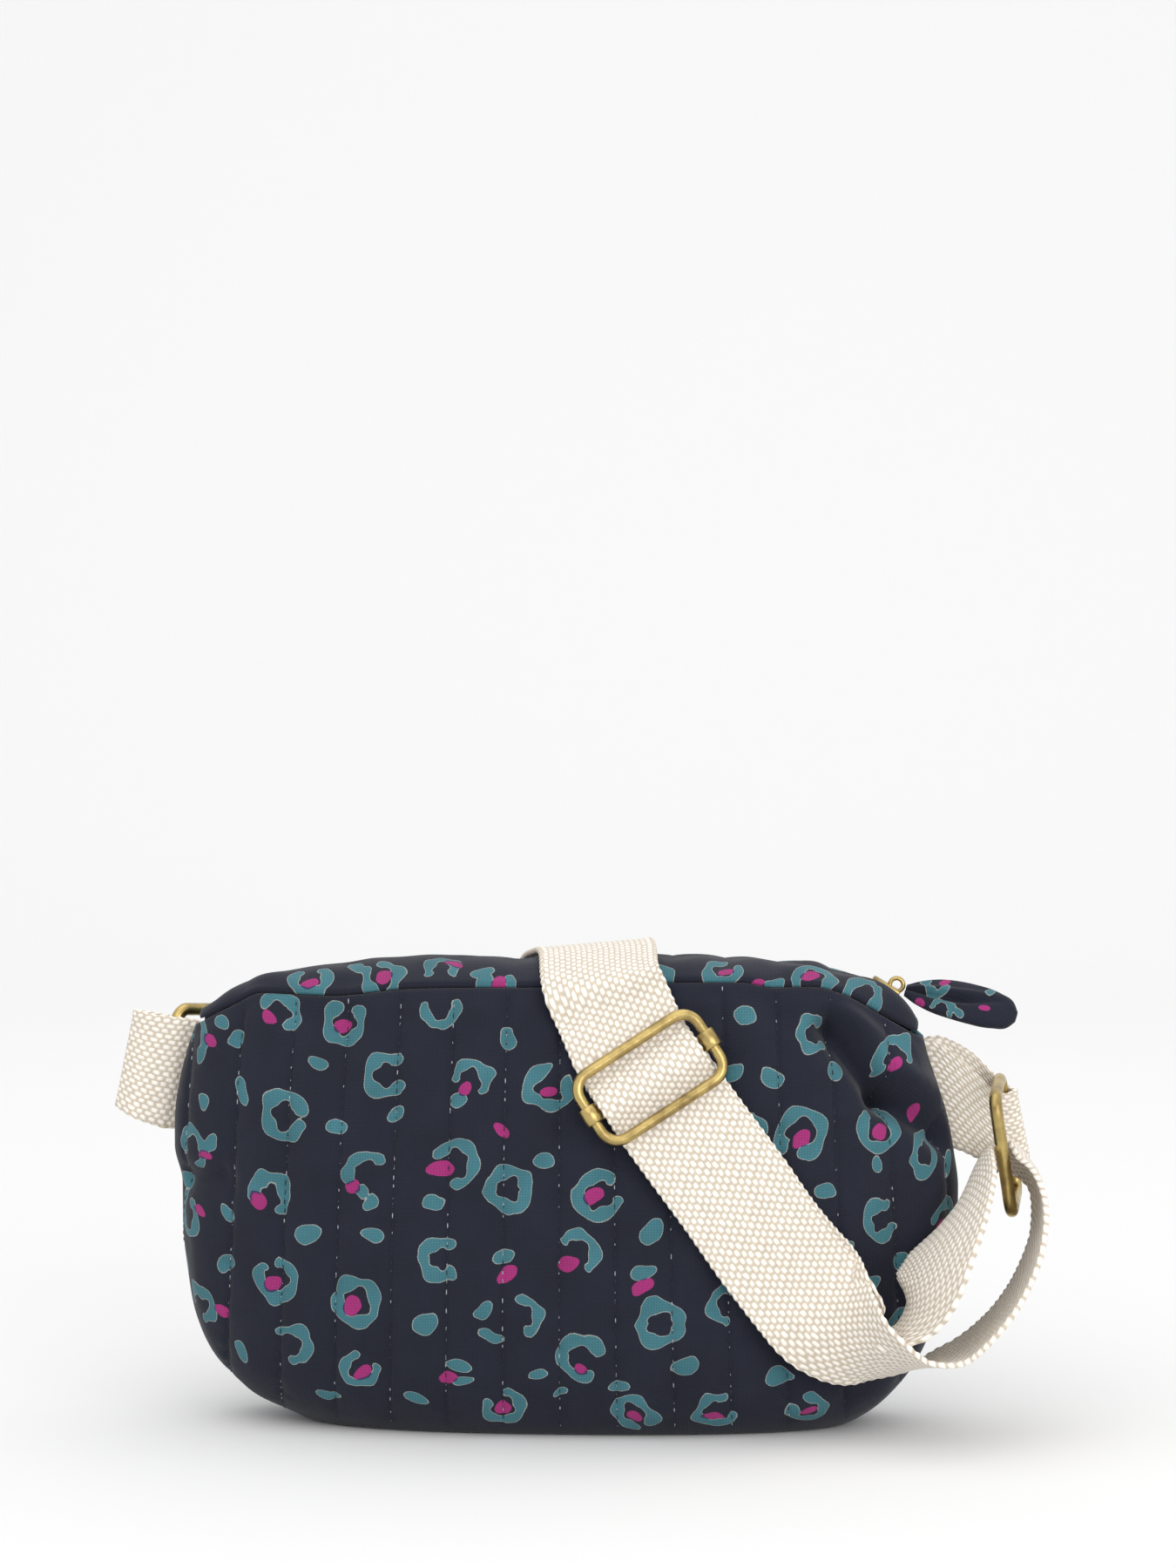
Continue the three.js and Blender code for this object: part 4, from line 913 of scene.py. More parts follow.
def scattered_spots(low_s, high_s, low_t, high_t, seed):
    """Spots of the same kinds strewn over a stretch of cloth, in staggered rows."""
    picker = np.random.default_rng(seed)
    arcs, ovals, cores = [], [], []
    half_step = SPOT_STEP / 2
    for line, t in enumerate(np.arange(low_t, high_t, SPOT_ROW)):
        for s in np.arange(low_s + (line % 2) * half_step, high_s, SPOT_STEP):
            x, z = s + picker.uniform(-4, 4), t + picker.uniform(-3, 3)
            turn = picker.uniform(0, 360)
            radius, half = picker.uniform(5, 6.4), picker.uniform(2.2, 2.8)
            arcs.append((x, z, radius, half, picker.choice([0, 60, 100, 140]), turn))
            if picker.random() < 0.6:
                long, short = picker.uniform(2.8, 4), picker.uniform(2, 2.8)
                cores.append((x - 2, z - 2, long, short, picker.uniform(0, 60)))
            shift = picker.uniform(-6, 6)
            long, short = picker.uniform(3.6, 4.6), picker.uniform(2.4, 3.2)
            ovals.append((x + half_step, z + shift, long, short, turn))
    return arcs, ovals, cores


def elevation_spots(spots, base, s, t):
    """Moves spots charted on the outline to the lengths along the cloth there."""
    moved = []
    for spot in spots:
        away = np.hypot(base[..., 0] - spot[0], base[..., 2] - spot[1])
        place = np.unravel_index(np.argmin(away), away.shape)
        moved.append((s[place], t[place], *spot[2:]))
    return moved


def panel_shares(facing):
    """Shares across and up a panel at about equal distances on its cloth, closer on the front."""
    columns_across, rows_up = FRONT_GRID if facing < 0 else BACK_GRID
    dense = np.linspace(-1, 1, 4001)
    dense = np.sign(dense) * (1 - (1 - np.abs(dense)) ** 2)
    across = panel_points(dense, np.full(dense.shape, WIDEST_SHARE), facing)
    u = even_shares(across, dense, columns_across)
    high = np.linspace(0, 1, 2001)
    up = panel_points(np.zeros(high.shape), high, facing)
    share = even_shares(up, high, rows_up)
    return u, share


def cloth_lengths(base):
    """Lengths across and up a grid of cloth, from its middle column and its first row."""
    across = np.cumsum(np.linalg.norm(np.diff(base, axis=1, prepend=base[:, :1]), axis=-1), axis=1)
    up = np.cumsum(np.linalg.norm(np.diff(base, axis=0, prepend=base[:1]), axis=-1), axis=0)
    middle = base.shape[1] // 2
    return across - across[:, middle:middle + 1], up


def channel_at(settings, base):
    """How many channels each point lies to the right of the middle one. The sewn lines stand upright."""
    spread = 1 + LINE_SPREAD * (1 - base[..., 2] / TOP_HEIGHT)
    return base[..., 0] / spread / (settings.channel / MM)


def rolled_in(away, radius):
    """How far the cloth sinks near a seam that it rolls in to, by its distance from the seam."""
    drop = radius - np.sqrt(np.maximum(0, radius**2 - (radius - away) ** 2))
    return np.where(away < radius, drop, 0)


def quilted_points(settings, facing):
    """The quilted skin of a panel, with the lengths along its cloth."""
    u, share = panel_shares(facing)
    grid_u, grid_share = np.meshgrid(u, share)
    base = panel_points(grid_u, grid_share, facing)
    normal = grid_normals(base) * (1 if facing < 0 else -1)
    run_s, run_t = cloth_lengths(base)
    channel = channel_at(settings, base)
    line = np.abs(channel - np.rint(channel)) * settings.channel / MM
    puff = np.abs(np.sin(np.pi * channel)) ** PUFF_ROUND
    height = level_at(grid_share, "height")
    ends = smooth(0, 0.05, 1 - np.abs(grid_u)) * smooth(0, 0.06, 1 - grid_share) * smooth(2, 14, height)
    rise = settings.rise / MM * puff * (1 + PUFF_UNEVEN * ripple(run_s, run_t, 26, 11)) * ends
    pucker = np.exp(-((line / PUCKER_REACH) ** 2)) * ripple(run_s * 0.5, run_t, 4.2, 17) * PUCKER_RISE
    groove = -GROOVE_DEPTH * np.exp(-((line / GROOVE_HALF) ** 2))
    crumple = sum(high * ripple(run_s, run_t, size, seed) for high, size, seed in CRUMPLES)
    rise += (pucker + groove + CRUMPLE_SHARE * crumple * smooth(0, 0.03, 1 - np.abs(grid_u))) * ends
    if facing < 0:
        x, z = base[..., 0], base[..., 2]
        for x0, z0, x1, z1, depth, half, lip in FRONT_FOLDS:
            run = np.array((x1 - x0, z1 - z0), float)
            along = np.clip(((x - x0) * run[0] + (z - z0) * run[1]) / (run @ run), 0, 1)
            off_x, off_z = x - x0 - along * run[0], z - z0 - along * run[1]
            away = np.hypot(off_x, off_z) / half
            aside = run / np.hypot(*run) * half * LIP_REACH
            beside = np.hypot(off_x + aside[1], off_z - aside[0]) / half
            pressed = depth * np.exp(-away**2) - lip * np.exp(-(beside**2))
            rise -= pressed * smooth(0, 0.06, 1 - grid_share) * smooth(0, 0.02, 1 - np.abs(grid_u))
    rise -= rolled_in(run_t[-1:] - run_t, PANEL_ROLL)
    return base + normal * rise[..., None], run_s, run_t, base


def gusset_points(u, across, facing):
    """Points across a top strip, from its seam (0) over the ridge (1) down to the zip (2)."""
    seam = panel_points(u, np.ones_like(u), facing)
    depth = np.abs(seam[..., 1])
    ridge = curve_at(RIDGE["x"], RIDGE["z"], seam[..., 0]) - (BACK_RIDGE_DROP if facing > 0 else 0)
    seat = seam[..., 2] + GUSSET_SEAT
    top = np.maximum(ridge, seat + RIDGE_OVER_SEAT)
    low = np.clip(across, 0, 1)
    turned = np.clip(across - 1, 0, 1)
    crown = GUSSET_CROWN * np.sin(np.pi * low) * smooth(3, 20, depth)
    ridge_depth, zip_depth = RIDGE_NEAR + RIDGE_SHARE * depth, ZIP_NEAR + ZIP_SHARE * depth
    y = depth + (ridge_depth - depth) * low + (zip_depth - ridge_depth) * turned
    z = seat + (top - seat) * low + crown - GUSSET_TURN * turned
    return np.stack((seam[..., 0], facing * y, z), axis=-1)


def quilt_lines(channel, values):
    """What a grid of values holds along each sewn line, from its first row up."""
    lines = []
    for number in range(math.ceil(channel.min()), math.floor(channel.max()) + 1):
        line = [
            [np.interp(number, across, row[:, axis]) for axis in range(3)]
            for across, row in zip(channel, values)
            if across[3] < number < across[-4]
        ]
        lines.append(np.array(line))
    return lines


def stitch_mesh(name, lines, normals, pitch, length, radius):
    """Rows of single stitches: short plump threads that dip into the cloth at both ends."""
    bm = bmesh.new()
    for line, facing in zip(lines, normals):
        run = running_length(line)
        for number in range(int(run[-1] / pitch)):
            middle = (number + 0.5) * pitch
            at = along_line(run, line, middle)
            ahead = along_line(run, line, middle + 0.6) - at
            out = along_line(run, facing, middle)
            along = Vector(ahead).normalized()
            side = along.cross(Vector(out)).normalized()
            up = side.cross(along)
            turn = Matrix((along * length / 2, side * radius, up * radius)).transposed().to_4x4()
            place = Matrix.Translation(Vector(at) + up * radius * 0.3) @ turn
            bmesh.ops.create_icosphere(bm, subdivisions=1, radius=1, matrix=Matrix.Scale(MM, 4) @ place)
    bmesh.ops.recalc_face_normals(bm, faces=bm.faces)
    return made_mesh(name, bm)


class BAG_OT_quilted_panels(bpy.types.Operator):
    """Makes the quilted front and back of the bag, with their sewn lines."""

    bl_idname = "belt_bag.quilted_panels"
    bl_label = "Quilted panels"

    def execute(self, context):
        settings = context.scene.bag_cloth
        cotton = named_material("printed_cotton_poplin", printed_cotton, settings)
        thread = named_material("dark_sewing_thread", spun_thread, "dark_sewing_thread", linear("#1b1d28"))
        for facing, name, node in ((-1, "front_cloth", "front_panel"), (1, "back_cloth", "back_panel")):
            order = outward(facing)
            points, s, t, base = (grid[:, order] for grid in quilted_points(settings, facing))
            mesh, row, column = cloth_mesh(name, points, np.stack((s, t), axis=-1))
            if facing < 0:
                arcs, ovals, cores = (elevation_spots(spots, base, s, t) for spots in (ARCS, OVALS, CORES))
            else:
                arcs, ovals, cores = scattered_spots(s.min() - 10, s.max() + 10, -6, t.max() + 10, 41)
            print_cloth(mesh, row, column, s, t, arcs, ovals, cores)
            trim_base(mesh)
            piece = finish_piece(name, mesh, cotton, (node,))
            give_wall(piece, "padding", settings.wall)
            start = int(np.argmax(points[:, points.shape[1] // 2, 2] > STITCH_START))
            channel = channel_at(settings, base)[start:, order]
            lines = quilt_lines(channel, points[start:, order])
            normals = quilt_lines(channel, grid_normals(points)[start:, order])
            sizes = (settings.stitch / MM, STITCH_LENGTH, STITCH_RADIUS)
            sewn = stitch_mesh(name + "_stitches", lines, normals, *sizes)
            finish_piece(name + "_stitches", sewn, thread)
        return {"FINISHED"}


class BAG_OT_top_strips(bpy.types.Operator):
    """Makes the two cloth strips of the top, one on each side of the zip."""

    bl_idname = "belt_bag.top_strips"
    bl_label = "Top strips"

    def execute(self, context):
        settings = context.scene.bag_cloth
        cotton = named_material("printed_cotton_poplin", printed_cotton, settings)
        for facing, name, node in (
            (-1, "top_strip_front", "gusset_front"),
            (1, "top_strip_back", "gusset_back"),
        ):
            u = GUSSET_END * np.linspace(-1, 1, 241)
            across = np.concatenate((np.linspace(0, 1, 23), np.linspace(1.12, 2, 6)))
            grid_u, grid_across = np.meshgrid(u, across)
            base = gusset_points(grid_u, grid_across, facing)
            normal = grid_normals(base) * (1 if facing < 0 else -1)
            s, _ = np.meshgrid(base[0, :, 0], across)
            steps = np.linalg.norm(np.diff(base, axis=0), axis=-1)
            t = np.concatenate(([np.zeros(len(u))], np.cumsum(steps, axis=0)))
            channel = channel_at(settings, base)
            depth = smooth(3, 16, np.abs(base[0, :, 1]))[None]
            puff = np.abs(np.sin(np.pi * channel)) ** PUFF_ROUND
            puff = puff * np.sin(np.pi * np.clip(grid_across, 0, 1)) * 0.8
            rise = (puff + 0.4 * ripple(s, t, 9, 53) * smooth(0, 0.3, grid_across)) * depth
            rise -= rolled_in(t, STRIP_ROLL) * depth
            points = base + normal * rise[..., None]
            order = outward(facing)
            mesh, row, column = cloth_mesh(name, points[:, order], np.stack((s, t), axis=-1)[:, order])
            if facing < 0:
                seam = curve_at(TOP_SEAM["x"], TOP_SEAM["z"], s)
                spots = (STRIP_ARCS, STRIP_OVALS, STRIP_CORES)
                print_cloth(mesh, row, column, s[:, order], (seam + t * 0.8)[:, order], *spots)
            else:
                spots = scattered_spots(-130, 130, 4, 34, 59)
                print_cloth(mesh, row, column, s[:, order], t[:, order], *spots)
            piece = finish_piece(name, mesh, cotton, (node,))
            give_wall(piece, "padding", STRIP_WALL * MM)
        return {"FINISHED"}


class BAG_OT_zip(bpy.types.Operator):
    """Makes the zip's tapes and its closed row of teeth."""

    bl_idname = "belt_bag.zip"
    bl_label = "Zip"

    def execute(self, context):
        tape = named_material("woven_nylon_tape", moulded_nylon, "woven_nylon_tape", "#15161c", 0.8)
        coil = named_material("nylon_zip_coil", moulded_nylon, "nylon_zip_coil", "#1d1f28", 0.45)
        u = ZIP_END * np.linspace(-1, 1, 181)
        edge = gusset_points(u, np.full(u.shape, 2.0), 1)
        room = edge[:, 1] - PLY_GAP
        for side, name, node in (
            (-1, "zip_tape_front_weave", "zip_tape_front"),
            (1, "zip_tape_back_weave", "zip_tape_back"),
        ):
            shares = np.array((1, 0.75, 0.5, 0.25, 0.05)) * side
            top = edge[None, :, 2] + ZIP_RISE - TAPE_SINK + TAPE_SLOPE * np.abs(shares[:, None])
            places = np.broadcast_arrays(edge[None, :, 0], shares[:, None] * room[None], top)
            points = np.stack(places, axis=-1)[:, outward(side)]
            mesh, _, _ = cloth_mesh(name, points, points[..., :2])
            piece = finish_piece(name, mesh, tape, (node,))
            give_wall(piece, "weave", TAPE_THICK * MM)
        bm = bmesh.new()
        run = running_length(edge)
        for number in range(int(run[-1] / COIL_PITCH)):
            middle = (number + 0.5) * COIL_PITCH
            at = along_line(run, edge, middle)
            ahead = along_line(run, edge, middle + 0.5) - at
            side = -1 if number % 2 else 1
            slope = math.atan2(ahead[2], ahead[0])
            turn = Matrix.Rotation(-slope, 4, "Y") @ Matrix.Diagonal((*COIL_TOOTH, 1))
            place = Matrix.Translation((at[0], side * COIL_ASIDE, at[2] + ZIP_RISE - COIL_SINK)) @ turn
            scaled = Matrix.Scale(MM, 4) @ place
            bmesh.ops.create_uvsphere(bm, u_segments=8, v_segments=6, radius=1, matrix=scaled)
        bmesh.ops.recalc_face_normals(bm, faces=bm.faces)
        finish_piece("zip_coil", made_mesh("zip_coil", bm), coil, ("zip_teeth",))
        return {"FINISHED"}


class BAG_OT_pull(bpy.types.Operator):
    """Makes the folded cloth pull of the zip."""

    bl_idname = "belt_bag.pull"
    bl_label = "Zip pull"

    def execute(self, context):
        settings = context.scene.bag_cloth
        cotton = named_material("printed_cotton_poplin", printed_cotton, settings)
        start = np.array(PULL_FROM)
        along = np.array(PULL_TO) - start
        along /= np.linalg.norm(along)
        face = np.array(PULL_FACE)
        face = face - along * (face @ along)
        face /= np.linalg.norm(face)
        side = np.cross(face, along)
        lengths = np.linspace(0, PULL_ROWS["along"][-1], 76)
        half, thick, crease, fold, rise = (
            curve_at(PULL_ROWS["along"], PULL_ROWS[name], lengths)[:, None]
            for name in ("half", "thick", "crease", "fold", "rise")
        )
        angles = np.linspace(0, 2 * math.pi, 73)[None]
        share = np.cos(angles) * np.ones_like(half)
        # Both faces puff up from a soft round edge, and the front one is folded in along its crease.
        puff = np.sign(np.sin(angles)) * np.abs(np.sin(angles)) ** PULL_ROUND * thick
        away = (share - fold) / CREASE_WIDE
        pressed = crease * np.exp(-(away**2)) * (np.sin(angles) > 0)
        lip = CREASE_LIP * crease * np.exp(-((away - LIP_ASIDE) ** 2)) * (np.sin(angles) > 0)
        run = lengths[:, None] + 0 * share
        wrinkle = PULL_WRINKLE * ripple(run, 9 * share + 20 * (angles > math.pi), 5, 67)
        points = (
            (start + lengths[:, None] * along)[:, None]
            + side * (half * share)[..., None]
            + face * (rise + puff - pressed + lip + wrinkle * np.sin(angles))[..., None]
        )
        points[:, -1] = points[:, 0]
        s = half * share + np.where(angles > math.pi, PULL_BACK, 0)
        mesh, row, column = cloth_mesh("zip_pull_cloth", points, np.stack((s, run), axis=-1))
        arcs = ((4, 10, 4, 1.7, 170, 20), (-5.5, 14, 3.4, 1.5, 170, 200))
        ovals = ((4.4, 27, 1.6, 1, 60), (-6, 20, 2, 1.3, 100), (42, 12, 4, 2.6, 30), (38, 26, 4, 2.6, 120))
        cores = ((5, 12.5, 2.8, 1.3, 60), (-1.6, 27, 2.6, 1.5, 80), (-4, 6, 2, 1.2, 120), (40, 20, 3, 2, 20))
        print_cloth(mesh, row, column, s, run, arcs, ovals, cores)
        close_tube(mesh, 1e-6)
        piece = finish_piece("zip_pull_cloth", mesh, cotton, ("zip_pull_tab",))
        return {"FINISHED"}


def centripetal(points, per_span):
    """A smooth path through points, with the place of each sample among them."""
    ends = np.vstack((2 * points[0] - points[1], points, 2 * points[-1] - points[-2]))
    path, places = [], []
    for span in range(len(points) - 1):
        p0, p1, p2, p3 = ends[span:span + 4]
        d0, d1, d2 = (max(np.linalg.norm(b - a) ** 0.5, 1e-4) for a, b in ((p0, p1), (p1, p2), (p2, p3)))
        m1 = ((p1 - p0) / d0 - (p2 - p0) / (d0 + d1) + (p2 - p1) / d1) * d1
        m2 = ((p2 - p1) / d1 - (p3 - p1) / (d1 + d2) + (p3 - p2) / d2) * d1
        count = per_span if span < len(points) - 2 else per_span + 1
        for t in np.arange(count) / per_span:
            h = (2 * t**3 - 3 * t**2 + 1, t**3 - 2 * t**2 + t, 3 * t**2 - 2 * t**3, t**3 - t**2)
            path.append(h[0] * p1 + h[1] * m1 + h[2] * p2 + h[3] * m2)
            places.append(span + t)
    return np.array(path), np.array(places)


def webbing_profile(width, thick):
    """Places across and through the webbing, round its section, with round rope-like edges."""
    flat = np.linspace(-1, 1, 17)[1:-1] * (width / 2 - 1.3)
    angles = np.linspace(-math.pi / 2, math.pi / 2, 9)
    rope = thick / 2 * ROPE_SHARE
    right = np.stack((width / 2 - rope + rope * np.cos(angles), rope * np.sin(angles)), axis=-1)
    left = right[::-1] * (-1, 1)
    upper = np.stack((flat[::-1], np.full(flat.shape, thick / 2)), axis=-1)
    lower = np.stack((flat, np.full(flat.shape, -thick / 2)), axis=-1)
    loop = np.vstack((right, upper, left, lower))
    return np.vstack((loop, loop[:1]))


def webbing_strip(name, stations, width, thick, skewed, per_span):
    """A strip of webbing swept through stations of middle, way of the width, curl and share of width left."""
    middles = np.array([station[0] for station in stations], float)
    widths = np.array([station[1] for station in stations], float)
    widths /= np.linalg.norm(widths, axis=1, keepdims=True)
    path, places = centripetal(middles, per_span)
    sides, _ = centripetal(widths, per_span)
    curls = np.interp(places, np.arange(len(stations)), [station[2] for station in stations])
    gathers = np.interp(places, np.arange(len(stations)), [station[3] for station in stations])
    run = running_length(path)
    even = np.linspace(0, run[-1], int(run[-1] / WEBBING_STEP))
    path, sides = (along_line(run, way, even) for way in (path, sides))
    curls, gathers = (np.interp(even, run, values) for values in (curls, gathers))
    run = even
    along = np.gradient(path, axis=0)
    along /= np.linalg.norm(along, axis=1, keepdims=True)
    if not skewed:
        sides = sides - along * np.sum(sides * along, axis=1, keepdims=True)
    sides /= np.linalg.norm(sides, axis=1, keepdims=True)
    faces = np.cross(sides, along)
    faces /= np.linalg.norm(faces, axis=1, keepdims=True)
    profile = webbing_profile(width, thick)
    # Flat webbing gets a curl too small to see, because its points are laid round an arc.
    angle = np.radians(np.where(np.abs(curls) < 0.1, LEAST_CURL, curls))
    radius = width * gathers / angle
    # The edges swell at each pick that turns back there.
    edge = np.sign(profile[None, :, 0]) * (np.abs(profile[None, :, 0]) > width / 2 - EDGE_BAND)
    swell = np.sin(run[:, None] * 2 * math.pi / PICK + np.where(edge > 0, 0, math.pi))
    turn = (profile[None, :, 0] + EDGE_SWELL * edge * swell) / width * angle[:, None]
    thickness = profile[None, :, 1] * (1 + EDGE_THICKEN * np.abs(edge) * swell)
    out = faces[:, None] * np.cos(turn)[..., None] + sides[:, None] * np.sin(turn)[..., None]
    points = path[:, None] - faces[:, None] * (radius * np.cos(angle / 4))[:, None, None]
    points = points + out * (radius[:, None] + thickness)[..., None]
    uv = np.stack(np.broadcast_arrays(run[:, None], profile[None, :, 0]), axis=-1)
    mesh, _, _ = cloth_mesh(name, points, uv, "webbing")
    close_tube(mesh, 1e-7)
    return mesh, run[-1]


def front_stations(rows, rise):
    stations = []
    for x, z, lift, heading in rows:
        at, normal = front_at(x, z, lift, rise)
        wide = np.array((math.cos(math.radians(heading)), 0, math.sin(math.radians(heading))))
        stations.append((at, wide - normal * (wide @ normal), 0, 1))
    return stations


def tab_stations(tab, route):
    x, z, lean, side = tab
    lean = Vector(lean).normalized()
    out = Vector((lean.z, 0, -lean.x)) * side
    stations = []
    for reach, y, drop, turn, gather in route:
        at = Vector((x, y, z)) + out * reach - lean * drop
        wide = Matrix.Rotation(math.radians(turn), 3, out) @ lean
        stations.append((tuple(at), tuple(wide), 0, gather))
    return stations


class BAG_OT_webbing(bpy.types.Operator):
    """Makes the belt and the two side loops."""

    bl_idname = "belt_bag.webbing"
    bl_label = "Webbing"

    def execute(self, context):
        settings = context.scene.bag_webbing
        rise = context.scene.bag_cloth.rise / MM
        weave = named_material("undyed_cotton_webbing", cotton_webbing, settings)
        stations = [(row[:3], [-part for part in row[3:6]], 0, row[6]) for row in BELT_BACK]
        stations += front_stations(BELT_FRONT, rise)
        stations += [(row[:3], row[3:6], row[6], row[7]) for row in BELT_LOOP]
        stations += front_stations(BELT_RETURN, rise)
        width, thick = settings.width / MM, settings.thick / MM
        mesh, length = webbing_strip("belt_webbing", stations, width, thick, False, 12)
        piece = finish_piece("belt_webbing", mesh, weave, ("belt",))
        for name, node, tab, route in (
            ("side_loop_left", "tab_left", TAB_LEFT, TAB_LEFT_ROUTE),
            ("side_loop_right", "tab_right", TAB_RIGHT, TAB_RIGHT_ROUTE),
        ):
            stations = tab_stations(tab, route)
            mesh, length = webbing_strip(name, stations, settings.tab_width / MM, thick, True, 8)
            piece = finish_piece(name, mesh, weave, (node,))
        return {"FINISHED"}


def stand(at, long, short):
    """Turns a piece made flat in XY to its place, with its X and Y along two given ways."""
    x = Vector(long).normalized()
    y = Vector(short)
    y = (y - x * y.dot(x)).normalized()
    z = x.cross(y)
    turn = Matrix((x, y, z)).transposed().to_4x4()
    return Matrix.Scale(MM, 4) @ Matrix.Translation(Vector(at)) @ turn


def bent_wire(bm, length, depth, wire, corner):
    """A round wire bent into a rectangle with round corners, swept round from the middle of a long side."""
    half = Vector((length / 2, depth / 2, 0))
    made = bmesh.ops.create_circle(bm, segments=20, radius=wire / 2, cap_ends=False)
    ring = made["verts"]
    bmesh.ops.rotate(bm, verts=ring, cent=(0, 0, 0), matrix=Matrix.Rotation(math.pi / 2, 3, "Y"))
    bmesh.ops.translate(bm, verts=ring, vec=(0, -half.y, 0))
    edges = list({edge for vert in ring for edge in vert.link_edges})
    runs = (
        (Vector((half.x - corner, 0, 0)), Vector((half.x - corner, -half.y + corner, 0))),
        (Vector((0, depth - 2 * corner, 0)), Vector((half.x - corner, half.y - corner, 0))),
        (Vector((-length + 2 * corner, 0, 0)), Vector((-half.x + corner, half.y - corner, 0))),
        (Vector((0, -depth + 2 * corner, 0)), Vector((-half.x + corner, -half.y + corner, 0))),
        (Vector((half.x - corner, 0, 0)), None),
    )
    for move, centre in runs:
        pieces = 8
        for _ in range(pieces):
            grown = bmesh.ops.extrude_edge_only(bm, edges=edges)["geom"]
            verts = [item for item in grown if isinstance(item, bmesh.types.BMVert)]
            edges = [item for item in grown if isinstance(item, bmesh.types.BMEdge)]
            bmesh.ops.translate(bm, verts=verts, vec=move / pieces)
        if centre is not None:
            turned = bmesh.ops.spin(
                bm, geom=edges, cent=centre, axis=(0, 0, 1), angle=math.pi / 2, steps=8, use_merge=False
            )["geom_last"]
            edges = [item for item in turned if isinstance(item, bmesh.types.BMEdge)]
    bmesh.ops.remove_doubles(bm, verts=bm.verts, dist=0.002)
    bmesh.ops.recalc_face_normals(bm, faces=bm.faces)


def brass_piece(name, bm, place, node):
    bmesh.ops.transform(bm, matrix=place, verts=bm.verts)
    brass = bpy.data.materials["aged_brushed_brass"]
    finish_piece(name, made_mesh(name, bm), brass, (node,))


class BAG_OT_brass(bpy.types.Operator):
    """Makes the rings, the strap slider and the zip's slider."""

    bl_idname = "belt_bag.brass"
    bl_label = "Brass fittings"

    def execute(self, context):
        settings = context.scene.bag_brass
        named_material("aged_brushed_brass", aged_brass, settings)
        rise = context.scene.bag_cloth.rise / MM
        wire = settings.ring_wire / MM
        for name, node, ring in (
            ("ring_left_wire", "ring_left", RING_LEFT),
            ("ring_right_wire", "ring_right", RING_RIGHT),
        ):
            bm = bmesh.new()
            length, depth = settings.ring_inner / MM + wire, settings.ring_depth / MM + wire
            bent_wire(bm, length, depth, wire, RING_CORNER)
            brass_piece(name, bm, stand(*ring), node)
        x, z, lift, heading = SLIDER_AT
        at, normal = front_at(x, z, lift, rise)
        below, _ = front_at(x + 4.5, z - 6.6, lift, rise)
        wide = np.array((math.cos(math.radians(heading)), 0, math.sin(math.radians(heading))))
        place = stand(at, wide - normal * (wide @ normal), below - at)
        wire = settings.slider_wire / MM
        length = settings.slider_inner / MM + wire
        bm = bmesh.new()
        bent_wire(bm, length, settings.slider_depth / MM + wire, wire, SLIDER_CORNER)
        brass_piece("slider_wire", bm, place, "slider_frame")
        bm = bmesh.new()
        bore = wire / 2 + PLY_GAP
        outer = bore + SLEEVE_WALL
        strip = bmesh.ops.create_cube(bm, size=1)["verts"]
        bmesh.ops.scale(bm, verts=strip, vec=(length - BAR_THICK, BAR_WIDE, BAR_THICK))
        bmesh.ops.translate(bm, verts=strip, vec=(0, 0, bore + SLEEVE_WALL / 2))
        bmesh.ops.bevel(
            bm, geom=bm.edges[:], offset=0.3, segments=2, profile=0.5, affect="EDGES", material=-1
        )
        end = BAR_WIDE / 2
        section = (
            (bore, -end),
            (outer - SLEEVE_ROUND, -end),
            (outer, SLEEVE_ROUND - end),
            (outer, end - SLEEVE_ROUND),
            (outer - SLEEVE_ROUND, end),
            (bore, end),
        )
        for side in (-1, 1):
            outline = [bm.verts.new((side * length / 2 + radius, y, 0)) for radius, y in section]
            profile = [bm.edges.new(pair) for pair in zip(outline, outline[1:] + outline[:1])]
            bmesh.ops.spin(
                bm, geom=profile + outline, cent=(side * length / 2, 0, 0), axis=(0, 1, 0), angle=2 * math.pi,
                steps=28, use_merge=True,
            )
        bmesh.ops.recalc_face_normals(bm, faces=bm.faces)
        brass_piece("slider_cross_bar", bm, place, "slider_bar")
        bm = bmesh.new()
        body = bmesh.ops.create_cube(bm, size=1)["verts"]
        bmesh.ops.scale(bm, verts=body, vec=ZIP_BODY)
        bmesh.ops.translate(bm, verts=body, vec=(0, 0, ZIP_BODY[2] / 2))
        for vert in body:
            vert.co.y *= ZIP_TAIL if vert.co.x < 0 else 1
        bmesh.ops.bevel(
            bm, geom=bm.edges[:], offset=0.6, segments=3, profile=0.5, affect="EDGES", material=-1
        )
        bail = bmesh.ops.create_circle(bm, segments=12, radius=EYE_WIRE, cap_ends=False)["verts"]
        bmesh.ops.translate(bm, verts=bail, vec=Vector(EYE_AT) + Vector((EYE_RADIUS, 0, 0)))
        ring = list({edge for vert in bail for edge in vert.link_edges})
        bmesh.ops.spin(
            bm, geom=ring, cent=EYE_AT, axis=(0, 1, 0), angle=2 * math.pi, steps=28, use_merge=True
        )
        bmesh.ops.recalc_face_normals(bm, faces=bm.faces)
        u = ZIP_SLIDER_X / LEVELS["right"][-1]
        here, low, high = (gusset_points(np.array(v), np.array(2.0), 1) for v in (u, u - 0.03, u + 0.03))
        seat = (here[0], 0, here[2] + PLY_GAP + ZIP_SLIDER_SEAT)
        ahead = (high[0] - low[0], 0, high[2] - low[2])
        brass_piece("zip_slider_body", bm, stand(seat, ahead, (0, 1, 0)), "zip_slider")
        return {"FINISHED"}


